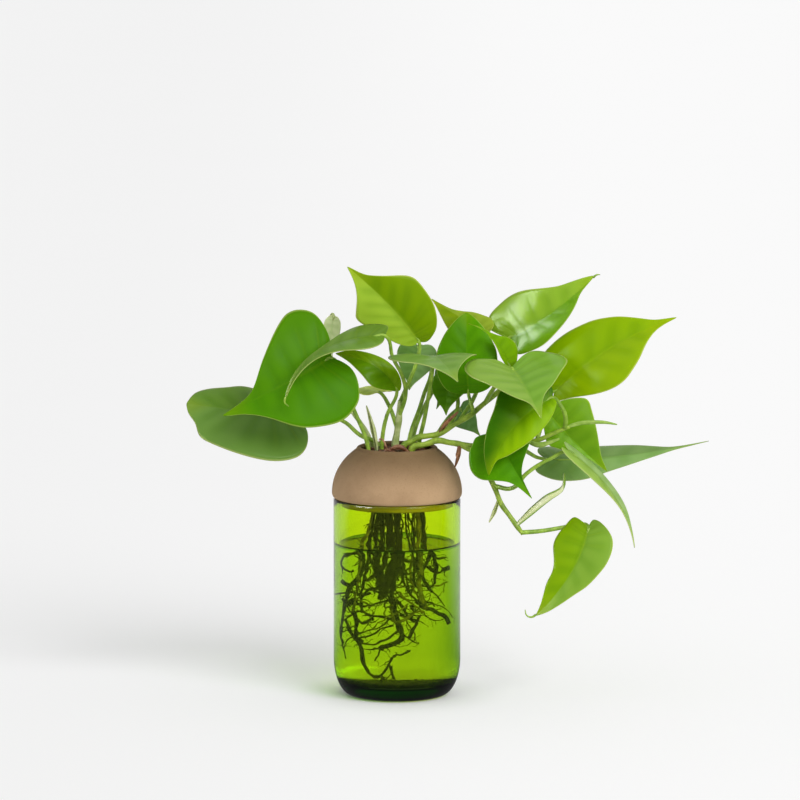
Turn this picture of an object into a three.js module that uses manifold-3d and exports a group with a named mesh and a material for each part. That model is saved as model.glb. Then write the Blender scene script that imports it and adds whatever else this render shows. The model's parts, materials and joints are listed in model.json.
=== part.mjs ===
// Glass planter: a cut bottle that holds water, a clay top seated in its rim, and a heart-leaf vine
// that grows through the top and hangs its roots in the water.
// Millimetres, +Z up, the front towards -Y, origin at the centre of the glass base.

import * as THREE from "three";
import { mergeVertices } from "three/addons/utils/BufferGeometryUtils.js";
import Module from "manifold-3d";

const wasm = await Module();
wasm.setup();

// Glass vessel
const glassRadius = 37.5;
const glassHeight = 117.5;
const glassWall = 3.2;
const glassFloor = 8;
const heelWidth = 10.7; // the heel is a quarter ellipse
const heelHeight = 22;
const innerCorner = 7; // round between the inner wall and the floor
const rimRound = 1.1;

// Clay top
const clayOverhang = 0.9;
const clayHeight = 30.2; // from the seat on the rim to the lip
const clayEdgeHeight = 3; // the widest place lies this far above the seat
const clayEdgeRound = 1.8;
const clayWall = 4.5;
const clayFloor = 5;
const mouthRadius = 24; // outer edge of the lip
const lipWall = 3;
const spigotDepth = 4.5;
const drainRadius = 16.5; // hole that the roots hang through
const cavityCorner = 5;

// Fits between pieces
const seatGap = 0.3;
const spigotClearance = 0.5;
const plugClearance = 0.6;
const growthGap = 0.35; // between one plant piece and the next

// Planting
const plantSpread = 311.5; // from the tip of the leaf on the far left to the tip of the long leaf
const soilBelowLip = 3;
const soilCrown = 1.2; // the substrate stands this much higher in the middle
const plantingDepth = 8;
const bladeThickness = 1;
const bladeSwell = 0.07; // each half of a blade is domed by this share of its width
const rootClearance = 2.5; // to the inside of the glass

// Facets
const roundSegments = 36;
const curveSteps = 4;
const bladeRows = 11;
const stalkSides = 6;
const stalkStep = 8; // length of one stalk facet
const rootSides = 5;

// Worked out
const glassInnerRadius = glassRadius - glassWall;
const seatHeight = glassHeight + seatGap;
const clayRadius = glassRadius + clayOverhang;
const domeCentre = seatHeight + clayEdgeHeight;
const lipHeight = seatHeight + clayHeight;
const spigotRadius = glassInnerRadius - spigotClearance;
const spigotBottom = seatHeight - spigotDepth;
const floorTop = spigotBottom + clayFloor;
const cavityRadius = clayRadius - clayWall;
const mouthInner = mouthRadius - lipWall;
const lipShoulder = lipHeight - lipWall / 2;
const crownHeight = lipHeight - soilBelowLip;
const growth = plantSpread / 311.5; // the plant's lists below are written for this spread,
const rooting = mouthInner / 21; // growing from a mouth of this inner radius
const rootReach = glassInnerRadius - rootClearance;
const rootDrop = spigotBottom - growthGap - glassFloor - rootClearance;

const finishes = {
  glass: { color: 0x9cc410, roughness: 0.05, metalness: 0 },
  clay: { color: 0xb2946e, roughness: 0.9, metalness: 0 },
  substrate: { color: 0x2e2018, roughness: 1, metalness: 0 },
  stem: { color: 0x7fa03a, roughness: 0.5, metalness: 0 },
  deepLeaf: { color: 0x3c820a, roughness: 0.4, metalness: 0 },
  freshLeaf: { color: 0x6fa514, roughness: 0.4, metalness: 0 },
  limeLeaf: { color: 0x90b818, roughness: 0.4, metalness: 0 },
  greyLeaf: { color: 0x5f8c4b, roughness: 0.5, metalness: 0 },
  paleSheath: { color: 0xc8cf8e, roughness: 0.6, metalness: 0 },
  drySheath: { color: 0x7a4a26, roughness: 0.8, metalness: 0 },
  root: { color: 0x1f1a10, roughness: 0.8, metalness: 0 },
};

// Stems: points are [right, away, up] from the crown. A stem from the substrate starts below its first
// point, and any other starts on the axis of the stem that bears it.
const stems = [
  {
    name: "stem_upright",
    path: [[-1, 2, 4], [1, 2, 18], [2, 2, 30]],
    radii: [2.3, 1.8],
  },
  {
    name: "vine_upper",
    path: [[4, -5, 4], [12, -6, 9], [24, -6, 11], [43, -4, 22], [58, 0, 34], [68, 2, 42]],
    radii: [2, 1.5],
  },
  {
    name: "vine_lower",
    path: [
      [9, -9, 3], [24, -11, 8], [37, -13, 6], [45, -15, 2], [51, -17, -7], [57, -18, -18],
      [61, -20, -28], [71, -22, -42], [74, -22, -46],
    ],
    radii: [2, 1.4],
  },
  {
    name: "vine_side",
    bornBy: "vine_lower",
    path: [[37, -13, 6], [50, -15, 5], [70, -20, 8], [82, -24, 10], [101, -26, 18.5]],
    radii: [1.6, 1.3],
  },
];

// Leaves: the stalk's points, then the midrib's base, middle and tip, the way the upper face looks, the
// width of each half (left and right of the midrib, seen from above, towards the tip), how far each
// half is raised above flat, in degrees, and the edge of each half if it is not the usual heart. An edge
// runs from the notch round the lobe to the tip: along the midrib as a share of its length, and across
// as a share of the half's width.
const heartEdge = [
  [-0.06, 0.3], [-0.07, 0.6], [0.03, 0.9], [0.2, 1], [0.4, 0.86], [0.62, 0.52], [0.8, 0.2],
  [0.91, 0.07],
];
const bluntEdge = [
  [0, 0.3], [0.03, 0.6], [0.12, 0.9], [0.3, 1], [0.6, 0.8], [0.85, 0.35],
];
const ovalEdge = [
  [0, 0.35], [0.056, 0.7], [0.167, 0.91], [0.29, 1], [0.5, 0.98], [0.6, 0.89], [0.736, 0.7],
  [0.861, 0.44], [0.958, 0.18],
];
const foldedEdge = [
  [0, 0.35], [0.08, 0.8], [0.18, 1], [0.3, 0.8], [0.42, 0.4], [0.55, 0.15], [0.75, 0.05],
];
const leaves = [
  {
    name: "leaf_far_left",
    stalk: [[-11, 4, 3], [-22, 5, 9], [-32, 7, 17], [-46, 8, 20]],
    midrib: [[-61.5, 8, 19], [-93, 4, 23.5], [-124.5, 12, 26.5]],
    face: [-0.1, -0.75, 0.65],
    halves: [32, 26.5],
    raised: [0, -25],
    edges: [
      [
        [-0.1, 0.2], [-0.115, 0.45], [-0.08, 0.73], [0.02, 0.92], [0.2, 1], [0.47, 0.92],
        [0.73, 0.76], [0.79, 0.66], [0.85, 0.42], [0.94, 0.22],
      ],
      [
        [-0.1, 0.35], [-0.06, 0.65], [0.1, 0.9], [0.35, 0.98], [0.54, 1], [0.72, 0.8],
        [0.88, 0.65], [0.98, 0.42],
      ],
    ],
    finish: "deepLeaf",
  },
  {
    name: "leaf_front_left",
    stalk: [[-17, -6, 3], [-25, -8, 25], [-33, -12, 44]],
    midrib: [[-38.5, -18, 58], [-70.5, -29, 41.5], [-103, -36, 26]],
    face: [-0.05, -0.97, 0.24],
    halves: [35.5, 35.5],
    edges: [
      [
        [-0.05, 0.14], [-0.085, 0.34], [-0.07, 0.58], [-0.01, 0.83], [0.08, 0.95], [0.2, 1],
        [0.4, 0.87], [0.52, 0.71], [0.68, 0.36], [0.82, 0.15], [0.92, 0.07],
      ],
      [
        [-0.07, 0.32], [-0.08, 0.69], [-0.04, 0.88], [0.05, 1], [0.14, 1], [0.3, 0.82], [0.5, 0.5],
        [0.68, 0.15], [0.82, 0.05],
      ],
    ],
    finish: "freshLeaf",
  },
  {
    name: "leaf_curled_left",
    bornBy: "stem_upright",
    stalk: [[1, 2, 20], [5, -2.5, 34], [3.5, -9.5, 45], [-2.5, -16.5, 58]],
    midrib: [[-7, -22, 71.5], [-46.5, -37, 63], [-65.5, -42, 35.5]],
    face: [-0.15, -0.4, 0.9],
    halves: [16, 16],
    edges: [
      [
        [0.02, 0.3], [0.05, 0.6], [0.1, 0.84], [0.18, 0.95], [0.28, 0.82], [0.38, 0.58], [0.5, 0.36],
        [0.64, 0.22], [0.8, 0.13], [0.92, 0.06],
      ],
      [
        [-0.06, 0.5], [-0.03, 0.82], [0.04, 1], [0.13, 0.86], [0.23, 0.56], [0.34, 0.3], [0.46, 0.15],
        [0.62, 0.11], [0.8, 0.09], [0.92, 0.05],
      ],
    ],
    finish: "greyLeaf",
  },
  {
    name: "leaf_back_left",
    stalk: [[-15, 8, 3], [-30, 14, 28], [-40, 26, 58], [-39.5, 23, 77]],
    midrib: [[-37.5, 16, 78.5], [-39.5, 20, 63.5], [-41, 22, 50]],
    face: [0.1, -0.9, 0.3],
    halves: [5.2, 5.2],
    edges: [bluntEdge, bluntEdge],
    finish: "greyLeaf",
  },
  {
    name: "leaf_young_left",
    stalk: [[-9, -3, 4], [-6, -6, 22]],
    midrib: [[0, -5, 36.5], [-12, -8, 51], [-36.5, -6, 59]],
    face: [0.1, -0.85, 0.5],
    halves: [11.5, 7],
    edges: [
      [
        [0.05, 0.25], [0.16, 0.6], [0.32, 0.93], [0.48, 1], [0.7, 0.64], [0.87, 0.26],
      ],
      [
        [0, 0.3], [0.1, 0.65], [0.3, 0.95], [0.5, 1], [0.75, 0.75], [0.9, 0.4],
      ],
    ],
    finish: "limeLeaf",
  },
  {
    name: "leaf_flat_left",
    bornBy: "stem_upright",
    stalk: [[0, 2, 14], [-5, 5, 27]],
    midrib: [[-10, 7, 34], [-17, 16, 35], [-25, 26, 33]],
    face: [0, -0.1, 1],
    halves: [12, 12],
    finish: "limeLeaf",
  },
  {
    name: "leaf_top",
    bornBy: "stem_upright",
    stalk: [[2, 2, 29], [8, 4, 43], [12, 5, 54]],
    midrib: [[13, 5, 64.5], [-5, -2, 87.5], [-30, -5, 111]],
    face: [-0.15, -0.95, 0.2],
    halves: [19.5, 20.5],
    edges: [
      [
        [0, 0.12], [0.03, 0.33], [0.17, 0.62], [0.42, 0.88], [0.6, 1.01], [0.66, 0.88], [0.76, 0.5],
        [0.84, 0.27], [0.93, 0.1],
      ],
      [
        [-0.035, 0.17], [-0.02, 0.36], [0.04, 0.65], [0.14, 0.87], [0.26, 1.01], [0.4, 1.06],
        [0.49, 1.08], [0.55, 1.01], [0.61, 0.85], [0.68, 0.61], [0.76, 0.35], [0.85, 0.13],
      ],
    ],
    finish: "limeLeaf",
  },
  {
    name: "leaf_back_centre",
    stalk: [[7, 8, 4], [15, 20, 28], [20, 29, 50]],
    midrib: [[13, 25, 59], [10, 21, 46], [7, 19, 33]],
    face: [0, -0.9, 0.4],
    halves: [12, 12],
    finish: "greyLeaf",
  },
  {
    name: "leaf_back_top",
    bornBy: "vine_upper",
    stalk: [[36, -4.8, 17.5], [46, 8, 32], [52, 18, 50]],
    midrib: [[54, 16, 68], [37, 22, 77], [20, 24, 88]],
    face: [0.2, -0.85, 0.5],
    halves: [13.5, 9.5],
    edges: [
      [
        [0, 0.5], [0.15, 0.9], [0.33, 1], [0.52, 0.84], [0.74, 0.46], [0.9, 0.15],
      ],
      [
        [0, 0.6], [0.1, 1], [0.2, 0.93], [0.36, 0.74], [0.51, 0.42], [0.66, 0.16], [0.84, 0.06],
      ],
    ],
    finish: "limeLeaf",
  },
  {
    name: "leaf_centre",
    bornBy: "vine_upper",
    stalk: [[45, -3.6, 23.5], [44, -7, 28]],
    midrib: [[42, -2.5, 35], [41, -1.5, 59], [41, 7, 81.5]],
    face: [0, -0.98, 0.15],
    halves: [18, 18],
    edges: [ovalEdge, ovalEdge],
    finish: "deepLeaf",
  },
  {
    name: "leaf_level",
    stalk: [[13, 4, 4], [16, 3, 18], [19, -2, 36], [21, -11, 51]],
    midrib: [[21, -18, 58.5], [26, -36, 58], [36, -50, 47.5]],
    face: [0.01, -0.1, 1],
    halves: [25, 28],
    finish: "greyLeaf",
  },
  {
    name: "leaf_upper_right",
    bornBy: "vine_upper",
    stalk: [[67, 1.8, 41], [68, 10, 54]],
    midrib: [[66, 15, 65], [91.5, 7, 81.5], [117, 9, 103.5]],
    face: [-0.12, -0.9, 0.42],
    halves: [23.5, 13.7],
    edges: [
      [
        [-0.16, 0.45], [-0.14, 0.66], [-0.07, 0.84], [0.05, 0.96], [0.17, 1], [0.29, 0.97],
        [0.42, 0.85], [0.57, 0.63], [0.69, 0.44], [0.82, 0.29], [0.93, 0.14],
      ],
      [
        [-0.03, 0.45], [0.05, 0.86], [0.15, 0.95], [0.28, 1], [0.41, 0.88], [0.53, 0.74],
        [0.64, 0.55], [0.72, 0.36], [0.81, 0.12], [0.9, 0.04],
      ],
    ],
    finish: "freshLeaf",
  },
  {
    name: "leaf_right",
    bornBy: "vine_upper",
    stalk: [[62, 0.8, 37.2], [78, 3, 36]],
    midrib: [[93, 4, 35], [127, -2, 62.5], [166, 0, 80]],
    face: [-0.1, -0.85, 0.5],
    halves: [24, 22.5],
    edges: [
      [
        [-0.05, 0.5], [0.02, 0.8], [0.08, 0.93], [0.16, 0.99], [0.27, 1], [0.37, 0.94],
        [0.46, 0.87], [0.54, 0.75], [0.62, 0.61], [0.69, 0.45], [0.76, 0.29], [0.83, 0.14],
        [0.9, 0.07],
      ],
      [
        [-0.04, 0.2], [0.07, 0.48], [0.19, 0.77], [0.28, 0.92], [0.37, 1], [0.46, 0.98],
        [0.55, 0.84], [0.63, 0.67], [0.7, 0.45], [0.75, 0.3], [0.81, 0.16], [0.88, 0.07],
      ],
    ],
    finish: "limeLeaf",
  },
  {
    name: "leaf_front_right",
    bornBy: "vine_upper",
    stalk: [[52, -1.6, 29.2], [56, -12, 38], [62, -20, 47]],
    midrib: [[67, -23, 52.5], [76, -46, 41], [84, -64, 28]],
    face: [0.12, -0.45, 0.88],
    halves: [36.5, 28.5],
    edges: [
      [
        [-0.15, 0.22], [-0.23, 0.4], [-0.25, 0.55], [-0.23, 0.73], [-0.21, 0.88], [-0.16, 0.97],
        [-0.07, 1], [0.04, 0.92], [0.16, 0.79], [0.42, 0.49], [0.57, 0.27], [0.69, 0.16],
        [0.83, 0.08],
      ],
      [
        [-0.17, 0.2], [-0.2, 0.38], [-0.22, 0.65], [-0.19, 0.82], [-0.09, 0.98], [0.02, 1],
        [0.13, 0.93], [0.27, 0.75], [0.5, 0.5], [0.61, 0.32], [0.68, 0.11], [0.78, 0.05],
      ],
    ],
    finish: "freshLeaf",
  },
  {
    name: "leaf_folded",
    bornBy: "vine_upper",
    stalk: [[58, 0, 34], [65, 0, 42]],
    midrib: [[66.5, -4, 50], [55, -10, 69.5], [40.5, -12, 77.5]],
    face: [0.3, -0.8, 0.4],
    halves: [2.5, 10.5],
    edges: [foldedEdge, foldedEdge],
    finish: "freshLeaf",
  },
  {
    name: "leaf_lower_front",
    bornBy: "vine_side",
    stalk: [[98.5, -25.9, 17.6], [98.5, -29.5, 25], [95.5, -31, 32]],
    midrib: [[91, -29, 36], [66, -42, 17.5], [53.5, -42, -9]],
    face: [0, -0.9, 0.4],
    halves: [13, 22],
    edges: [
      [
        [0, 0.3], [0.08, 0.66], [0.17, 0.87], [0.27, 0.98], [0.36, 1], [0.47, 0.96], [0.58, 0.82],
        [0.7, 0.57], [0.77, 0.32], [0.82, 0.13], [0.92, 0.06],
      ],
      [
        [-0.05, 0.3], [0.02, 0.7], [0.15, 0.97], [0.28, 1], [0.43, 0.73], [0.53, 0.62],
        [0.66, 0.48], [0.79, 0.32], [0.9, 0.15],
      ],
    ],
    finish: "limeLeaf",
  },
  {
    name: "leaf_lower_right",
    bornBy: "vine_side",
    stalk: [[82, -24, 10], [85, -17, 18]],
    midrib: [[88.5, -14, 25], [105.5, -15, 6.5], [124, -18, -10]],
    face: [0.1, -0.97, 0.2],
    halves: [23, 12.5],
    edges: [
      [
        [-0.02, 0.35], [0.07, 0.75], [0.2, 1], [0.32, 0.9], [0.43, 0.78], [0.53, 0.65],
        [0.63, 0.5], [0.72, 0.35], [0.82, 0.19], [0.93, 0.07],
      ],
      [
        [0, 0.3], [0.125, 0.68], [0.27, 1], [0.38, 0.8], [0.48, 0.58], [0.61, 0.28], [0.73, 0.12],
        [0.85, 0.05],
      ],
    ],
    finish: "freshLeaf",
  },
  {
    name: "leaf_long",
    bornBy: "vine_side",
    stalk: [[70, -20, 8], [78, -8, 0]],
    midrib: [[88, 8, -6], [136, 10, -4], [187, 18, 4]],
    face: [0, -0.3, 0.95],
    halves: [17.5, 13.7],
    raised: [0, -50],
    edges: [
      [
        [-0.05, 0.4], [-0.03, 0.75], [0.05, 1], [0.2, 0.97], [0.35, 0.88], [0.52, 0.6],
        [0.67, 0.28], [0.77, 0.08], [0.88, 0.03],
      ],
      [
        [-0.06, 0.4], [-0.04, 0.7], [0.04, 0.93], [0.13, 1], [0.25, 0.93], [0.39, 0.65],
        [0.54, 0.42], [0.68, 0.22], [0.78, 0.08], [0.88, 0.03],
      ],
    ],
    finish: "greyLeaf",
  },
  {
    name: "leaf_bottom_front",
    bornBy: "vine_lower",
    stalk: [[47.5, -15.9, -1.5], [50, -22, 6]],
    midrib: [[56, -27, 15], [68, -35, -4], [79.5, -36, -23.5]],
    face: [-0.1, -0.95, 0.25],
    halves: [17.5, 22.5],
    edges: [
      [
        [0, 0.6], [0.12, 0.93], [0.23, 1], [0.33, 0.93], [0.42, 0.66], [0.5, 0.4], [0.59, 0.19],
        [0.68, 0.07], [0.82, 0.03],
      ],
      [
        [-0.05, 0.42], [0.01, 0.61], [0.06, 0.78], [0.16, 0.92], [0.26, 1], [0.36, 0.97],
        [0.44, 0.87], [0.5, 0.7], [0.59, 0.43], [0.65, 0.29], [0.73, 0.19], [0.85, 0.09],
      ],
    ],
    finish: "deepLeaf",
  },
  {
    name: "leaf_narrow",
    bornBy: "vine_lower",
    stalk: [[57, -18, -18], [68, -25, -18], [76, -28, -9], [90, -29, 0]],
    midrib: [[101, -29, 4], [127.5, -30, -22.5], [139.5, -30, -54]],
    face: [0.78, -0.25, 0.55],
    halves: [10, 10],
    finish: "freshLeaf",
  },
  {
    name: "leaf_hanging",
    bornBy: "vine_lower",
    stalk: [[73, -22, -45], [84, -20, -44.5], [98, -15, -43], [108, -15, -41]],
    midrib: [[112.5, -20, -42], [102, -30, -68], [81, -30, -93.5]],
    face: [-0.2, -0.9, 0.3],
    halves: [17.5, 17.5],
    edges: [
      [
        [-0.07, 0.1], [-0.06, 0.33], [0, 0.63], [0.075, 0.88], [0.16, 0.98], [0.28, 0.97],
        [0.4, 0.86], [0.53, 0.72], [0.64, 0.53], [0.78, 0.35], [0.9, 0.2],
      ],
      [
        [-0.055, 0.3], [-0.075, 0.55], [0, 0.76], [0.13, 0.95], [0.27, 1], [0.38, 0.88],
        [0.48, 0.7], [0.58, 0.56], [0.71, 0.49], [0.8, 0.34], [0.91, 0.13],
      ],
    ],
    finish: "freshLeaf",
  },
  {
    name: "leaf_shaded",
    bornBy: "vine_upper",
    stalk: [[24, -6, 11], [28, 4, 16], [33, 12, 21]],
    midrib: [[37, 16, 23], [42, 21, 15], [50, 23, 5]],
    face: [0, -0.85, 0.5],
    halves: [9, 9],
    finish: "greyLeaf",
  },
  {
    name: "leaf_back_right",
    stalk: [[9, 13, 4], [20, 26, 30], [30, 29, 44]],
    midrib: [[33, 24, 48], [29, 22, 35], [23, 18, 22]],
    face: [-0.3, -0.85, 0.4],
    halves: [10, 10],
    finish: "greyLeaf",
  },
  {
    name: "leaf_low_centre",
    bornBy: "vine_upper",
    stalk: [[30, -5.5, 14], [36, 4, 28]],
    midrib: [[31, 8, 42.5], [29, 6, 32], [29, 2, 20.5]],
    face: [-0.2, -0.9, 0.4],
    halves: [12, 10],
    finish: "freshLeaf",
  },
];

// Rolled new leaves and leaf sheaths: tapered tubes with a radius at each point.
const sheaths = [
  {
    name: "new_leaf_right",
    bornBy: "vine_side",
    path: [[100, -25.9, 18.2], [108, -26, 20.5], [120, -26, 21], [129, -25, 19.5]],
    radii: [1.1, 1.5, 1.3, 0.4],
    finish: "freshLeaf",
  },
  {
    name: "new_leaf_hanging",
    bornBy: "vine_lower",
    path: [[70, -21.8, -41], [79, -25, -32], [88, -27, -24], [97, -27, -18], [98, -27, -9]],
    radii: [1.1, 2.4, 2.6, 1.6, 0.4],
    finish: "paleSheath",
  },
  {
    name: "sheath_side",
    bornBy: "vine_side",
    path: [[77, -22.4, 9], [84, -28, 8], [95, -31, 12]],
    radii: [1.1, 2, 0.6],
    finish: "freshLeaf",
  },
  {
    name: "sheath_thorn",
    bornBy: "vine_lower",
    path: [[37, -13, 6], [36, -16, 0], [34, -17, -7]],
    radii: [1.2, 1.8, 0.4],
    finish: "drySheath",
  },
  {
    name: "sheath_brown",
    bornBy: "vine_upper",
    path: [[25, -6, 11.4], [29, -9, 18], [36, -10, 25]],
    radii: [1.2, 1.7, 0.5],
    finish: "drySheath",
  },
  {
    name: "sheath_hanging",
    bornBy: "vine_lower",
    path: [[60, -19.4, -25], [57, -21, -33], [54, -22, -39]],
    radii: [1, 1.5, 0.4],
    finish: "paleSheath",
  },
  {
    name: "sheath_pale",
    path: [[-12, -6, 3], [-14, -5, 14], [-18, -5, 28]],
    radii: [1.2, 2, 0.4],
    finish: "paleSheath",
  },
];

// Roots: points are [across, away, down], as shares of the room inside the glass, so that they fill any
// size of it. The core is the tangle under the hole.
const rootCore = [
  { down: 0, share: 0.44 },
  { down: 0.14, share: 0.42 },
  { down: 0.3, share: 0.36 },
  { down: 0.45, share: 0.22 },
];
const rootCoreEnd = 0.56;
const rootRadii = [1.3, 0.6];
const roots = [
  [[-0.3, 0.1, 0.04], [-0.5, 0.05, 0.24], [-0.72, -0.1, 0.55], [-0.66, -0.2, 0.78]],
  [[-0.2, -0.15, 0.04], [-0.37, -0.2, 0.32], [-0.52, -0.2, 0.68], [-0.5, -0.1, 0.85], [-0.2, 0, 0.95]],
  [[0, -0.2, 0.04], [-0.05, -0.25, 0.43], [0.03, -0.2, 0.72], [0.18, -0.1, 0.82], [0.08, 0.05, 0.9]],
  [[-0.08, 0.1, 0.04], [-0.06, 0.15, 0.5], [-0.14, 0.1, 0.84], [-0.18, 0.02, 0.98]],
  [[0.25, 0, 0.04], [0.45, -0.1, 0.28], [0.52, -0.15, 0.44], [0.42, -0.22, 0.56]],
  [[0.2, 0.2, 0.04], [0.5, 0.2, 0.28], [0.78, 0.15, 0.36]],
  [[0.12, 0.12, 0.04], [0.22, 0.1, 0.45], [0.4, 0, 0.57], [0.6, -0.05, 0.6], [0.76, 0, 0.66]],
  [[0.1, 0.3, 0.04], [0.15, 0.5, 0.4], [0.05, 0.55, 0.7], [-0.1, 0.45, 0.82]],
  [[-0.2, 0.25, 0.04], [-0.45, 0.45, 0.35], [-0.55, 0.4, 0.6], [-0.4, 0.45, 0.75]],
];

function asSolid(geometry) {
  const bare = new THREE.BufferGeometry();
  bare.setAttribute("position", geometry.getAttribute("position"));
  bare.setIndex(geometry.getIndex());
  const merged = mergeVertices(bare, 1e-3);
  return new wasm.Manifold(
    new wasm.Mesh({
      numProp: 3,
      vertProperties: merged.getAttribute("position").array,
      triVerts: new Uint32Array(merged.getIndex().array),
    }),
  );
}

function asGeometry(solid) {
  const { vertProperties, triVerts, numProp } = solid.getMesh();
  const geometry = new THREE.BufferGeometry();
  geometry.setAttribute("position", new THREE.BufferAttribute(vertProperties, numProp));
  geometry.setIndex(new THREE.BufferAttribute(triVerts, 1));
  geometry.computeVertexNormals();
  return geometry;
}

// Turns a profile of (radius, height) points about +Z.
function revolve(points, segments) {
  return new THREE.LatheGeometry(points, segments).rotateX(Math.PI / 2);
}

// A closed skin over a row of rings, drawn to a point at each end.
function loft(rings, first, last) {
  const sides = rings[0].length;
  const points = [first, ...rings.flat(), last];
  const lastRing = rings.length - 1;
  const at = (ring, side) => 1 + ring * sides + (side % sides);
  const faces = [];
  for (let side = 0; side < sides; side += 1) {
    faces.push(0, at(0, side + 1), at(0, side));
    for (let ring = 0; ring < lastRing; ring += 1) {
      const [a, b] = [at(ring, side), at(ring, side + 1)];
      const [c, d] = [at(ring + 1, side), at(ring + 1, side + 1)];
      faces.push(a, b, d, a, d, c);
    }
    faces.push(points.length - 1, at(lastRing, side), at(lastRing, side + 1));
  }
  return new THREE.BufferGeometry().setFromPoints(points).setIndex(faces);
}

// A round tube along smooth points, with its radius given at even steps along it.
function tube(points, radii, sides, step, extra = 0) {
  const curve = new THREE.CatmullRomCurve3(points, false, "centripetal");
  const count = Math.max(2, Math.round(curve.getLength() / step));
  const frames = curve.computeFrenetFrames(count, false);
  const rings = [];
  const ends = [];
  for (let i = 0; i <= count; i += 1) {
    const along = (i / count) * (radii.length - 1);
    const low = Math.min(Math.floor(along), radii.length - 2);
    const radius = THREE.MathUtils.lerp(radii[low], radii[low + 1], along - low) + extra;
    const centre = curve.getPointAt(i / count);
    if (i === 0 || i === count) {
      centre.addScaledVector(frames.tangents[i], i === 0 ? -extra : extra);
    }
    const ring = [];
    for (let side = 0; side < sides; side += 1) {
      const turn = (side / sides) * 2 * Math.PI;
      const across = frames.normals[i].clone().multiplyScalar(radius * Math.cos(turn));
      across.addScaledVector(frames.binormals[i], radius * Math.sin(turn));
      ring.push(across.add(centre));
    }
    rings.push(ring);
    ends.push(centre);
  }
  return loft(rings, ends[0], ends.at(-1));
}

function fromCrown(place) {
  const point = new THREE.Vector3(...place).multiplyScalar(growth);
  return point.setZ(point.z + crownHeight);
}

// The points of a plant piece, led down into the substrate if no other piece bears it.
function growthPoints(path, bornBy) {
  const points = path.map(fromCrown);
  if (!bornBy) {
    const [right, away] = path[0];
    points[0].setX(right * rooting).setY(away * rooting);
    points.unshift(points[0].clone().setZ(crownHeight - plantingDepth));
  }
  return points;
}

function glassVessel() {
  const profile = new THREE.Path();
  profile.moveTo(0, 0);
  profile.lineTo(glassRadius - heelWidth, 0);
  profile.absellipse(
    glassRadius - heelWidth, heelHeight, heelWidth, heelHeight, -Math.PI / 2, 0, false,
  );
  profile.lineTo(glassRadius, glassHeight - rimRound);
  profile.absarc(glassRadius - rimRound, glassHeight - rimRound, rimRound, 0, Math.PI / 2, false);
  profile.lineTo(glassInnerRadius + rimRound, glassHeight);
  profile.absarc(
    glassInnerRadius + rimRound, glassHeight - rimRound, rimRound, Math.PI / 2, Math.PI, false,
  );
  profile.lineTo(glassInnerRadius, glassFloor + innerCorner);
  profile.absarc(
    glassInnerRadius - innerCorner, glassFloor + innerCorner, innerCorner, 0, -Math.PI / 2, true,
  );
  profile.lineTo(0, glassFloor);
  return revolve(profile.getPoints(curveSteps / 2), roundSegments);
}

// The inside of the clay top, from the drain hole up to the given height, drawn in by a gap.
function cavityOutline(gap, top) {
  const radius = cavityRadius - gap;
  const mouthShare = mouthInner / cavityRadius;
  const rise = (lipShoulder - domeCentre) / Math.sqrt(1 - mouthShare ** 2) - gap;
  const outline = new THREE.Path();
  outline.moveTo(drainRadius - gap, spigotBottom);
  outline.lineTo(drainRadius - gap, floorTop + gap);
  outline.lineTo(radius - cavityCorner, floorTop + gap);
  outline.quadraticCurveTo(radius, floorTop + gap, radius, domeCentre);
  outline.absellipse(0, domeCentre, radius, rise, 0, Math.asin((top - domeCentre) / rise), false);
  return outline.getPoints(curveSteps / 2);
}

function clayTop() {
  const rise = (lipShoulder - domeCentre) / Math.sqrt(1 - (mouthRadius / clayRadius) ** 2);
  const lipMiddle = mouthRadius - lipWall / 2;
  const outside = new THREE.Path();
  outside.moveTo(spigotRadius, spigotBottom);
  outside.lineTo(spigotRadius, seatHeight);
  outside.lineTo(clayRadius - clayEdgeRound, seatHeight);
  outside.absellipse(
    clayRadius - clayEdgeRound, domeCentre, clayEdgeRound, clayEdgeHeight, -Math.PI / 2, 0, false,
  );
  outside.absellipse(0, domeCentre, clayRadius, rise, 0, Math.acos(mouthRadius / clayRadius), false);
  outside.quadraticCurveTo(mouthRadius - lipWall / 4, lipHeight, lipMiddle, lipHeight);
  outside.quadraticCurveTo(mouthInner, lipHeight, mouthInner, lipShoulder);
  const inside = cavityOutline(0, lipShoulder).reverse();
  const profile = [...outside.getPoints(curveSteps), ...inside.slice(1)];
  return revolve([...profile, profile[0]], roundSegments);
}

function substratePlug(planted) {
  const profile = [
    new THREE.Vector2(0, spigotBottom),
    ...cavityOutline(plugClearance, crownHeight - soilCrown),
    new THREE.Vector2(mouthInner / 2, crownHeight),
    new THREE.Vector2(0, crownHeight),
  ];
  const plug = asSolid(revolve(profile, roundSegments));
  return asGeometry(planted.reduce((rest, piece) => rest.subtract(piece), plug));
}

function leafEdge(points) {
  const through = [[0, 0], ...points, [1, 0]];
  return new THREE.SplineCurve(through.map(([along, across]) => new THREE.Vector2(along, across)));
}

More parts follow.
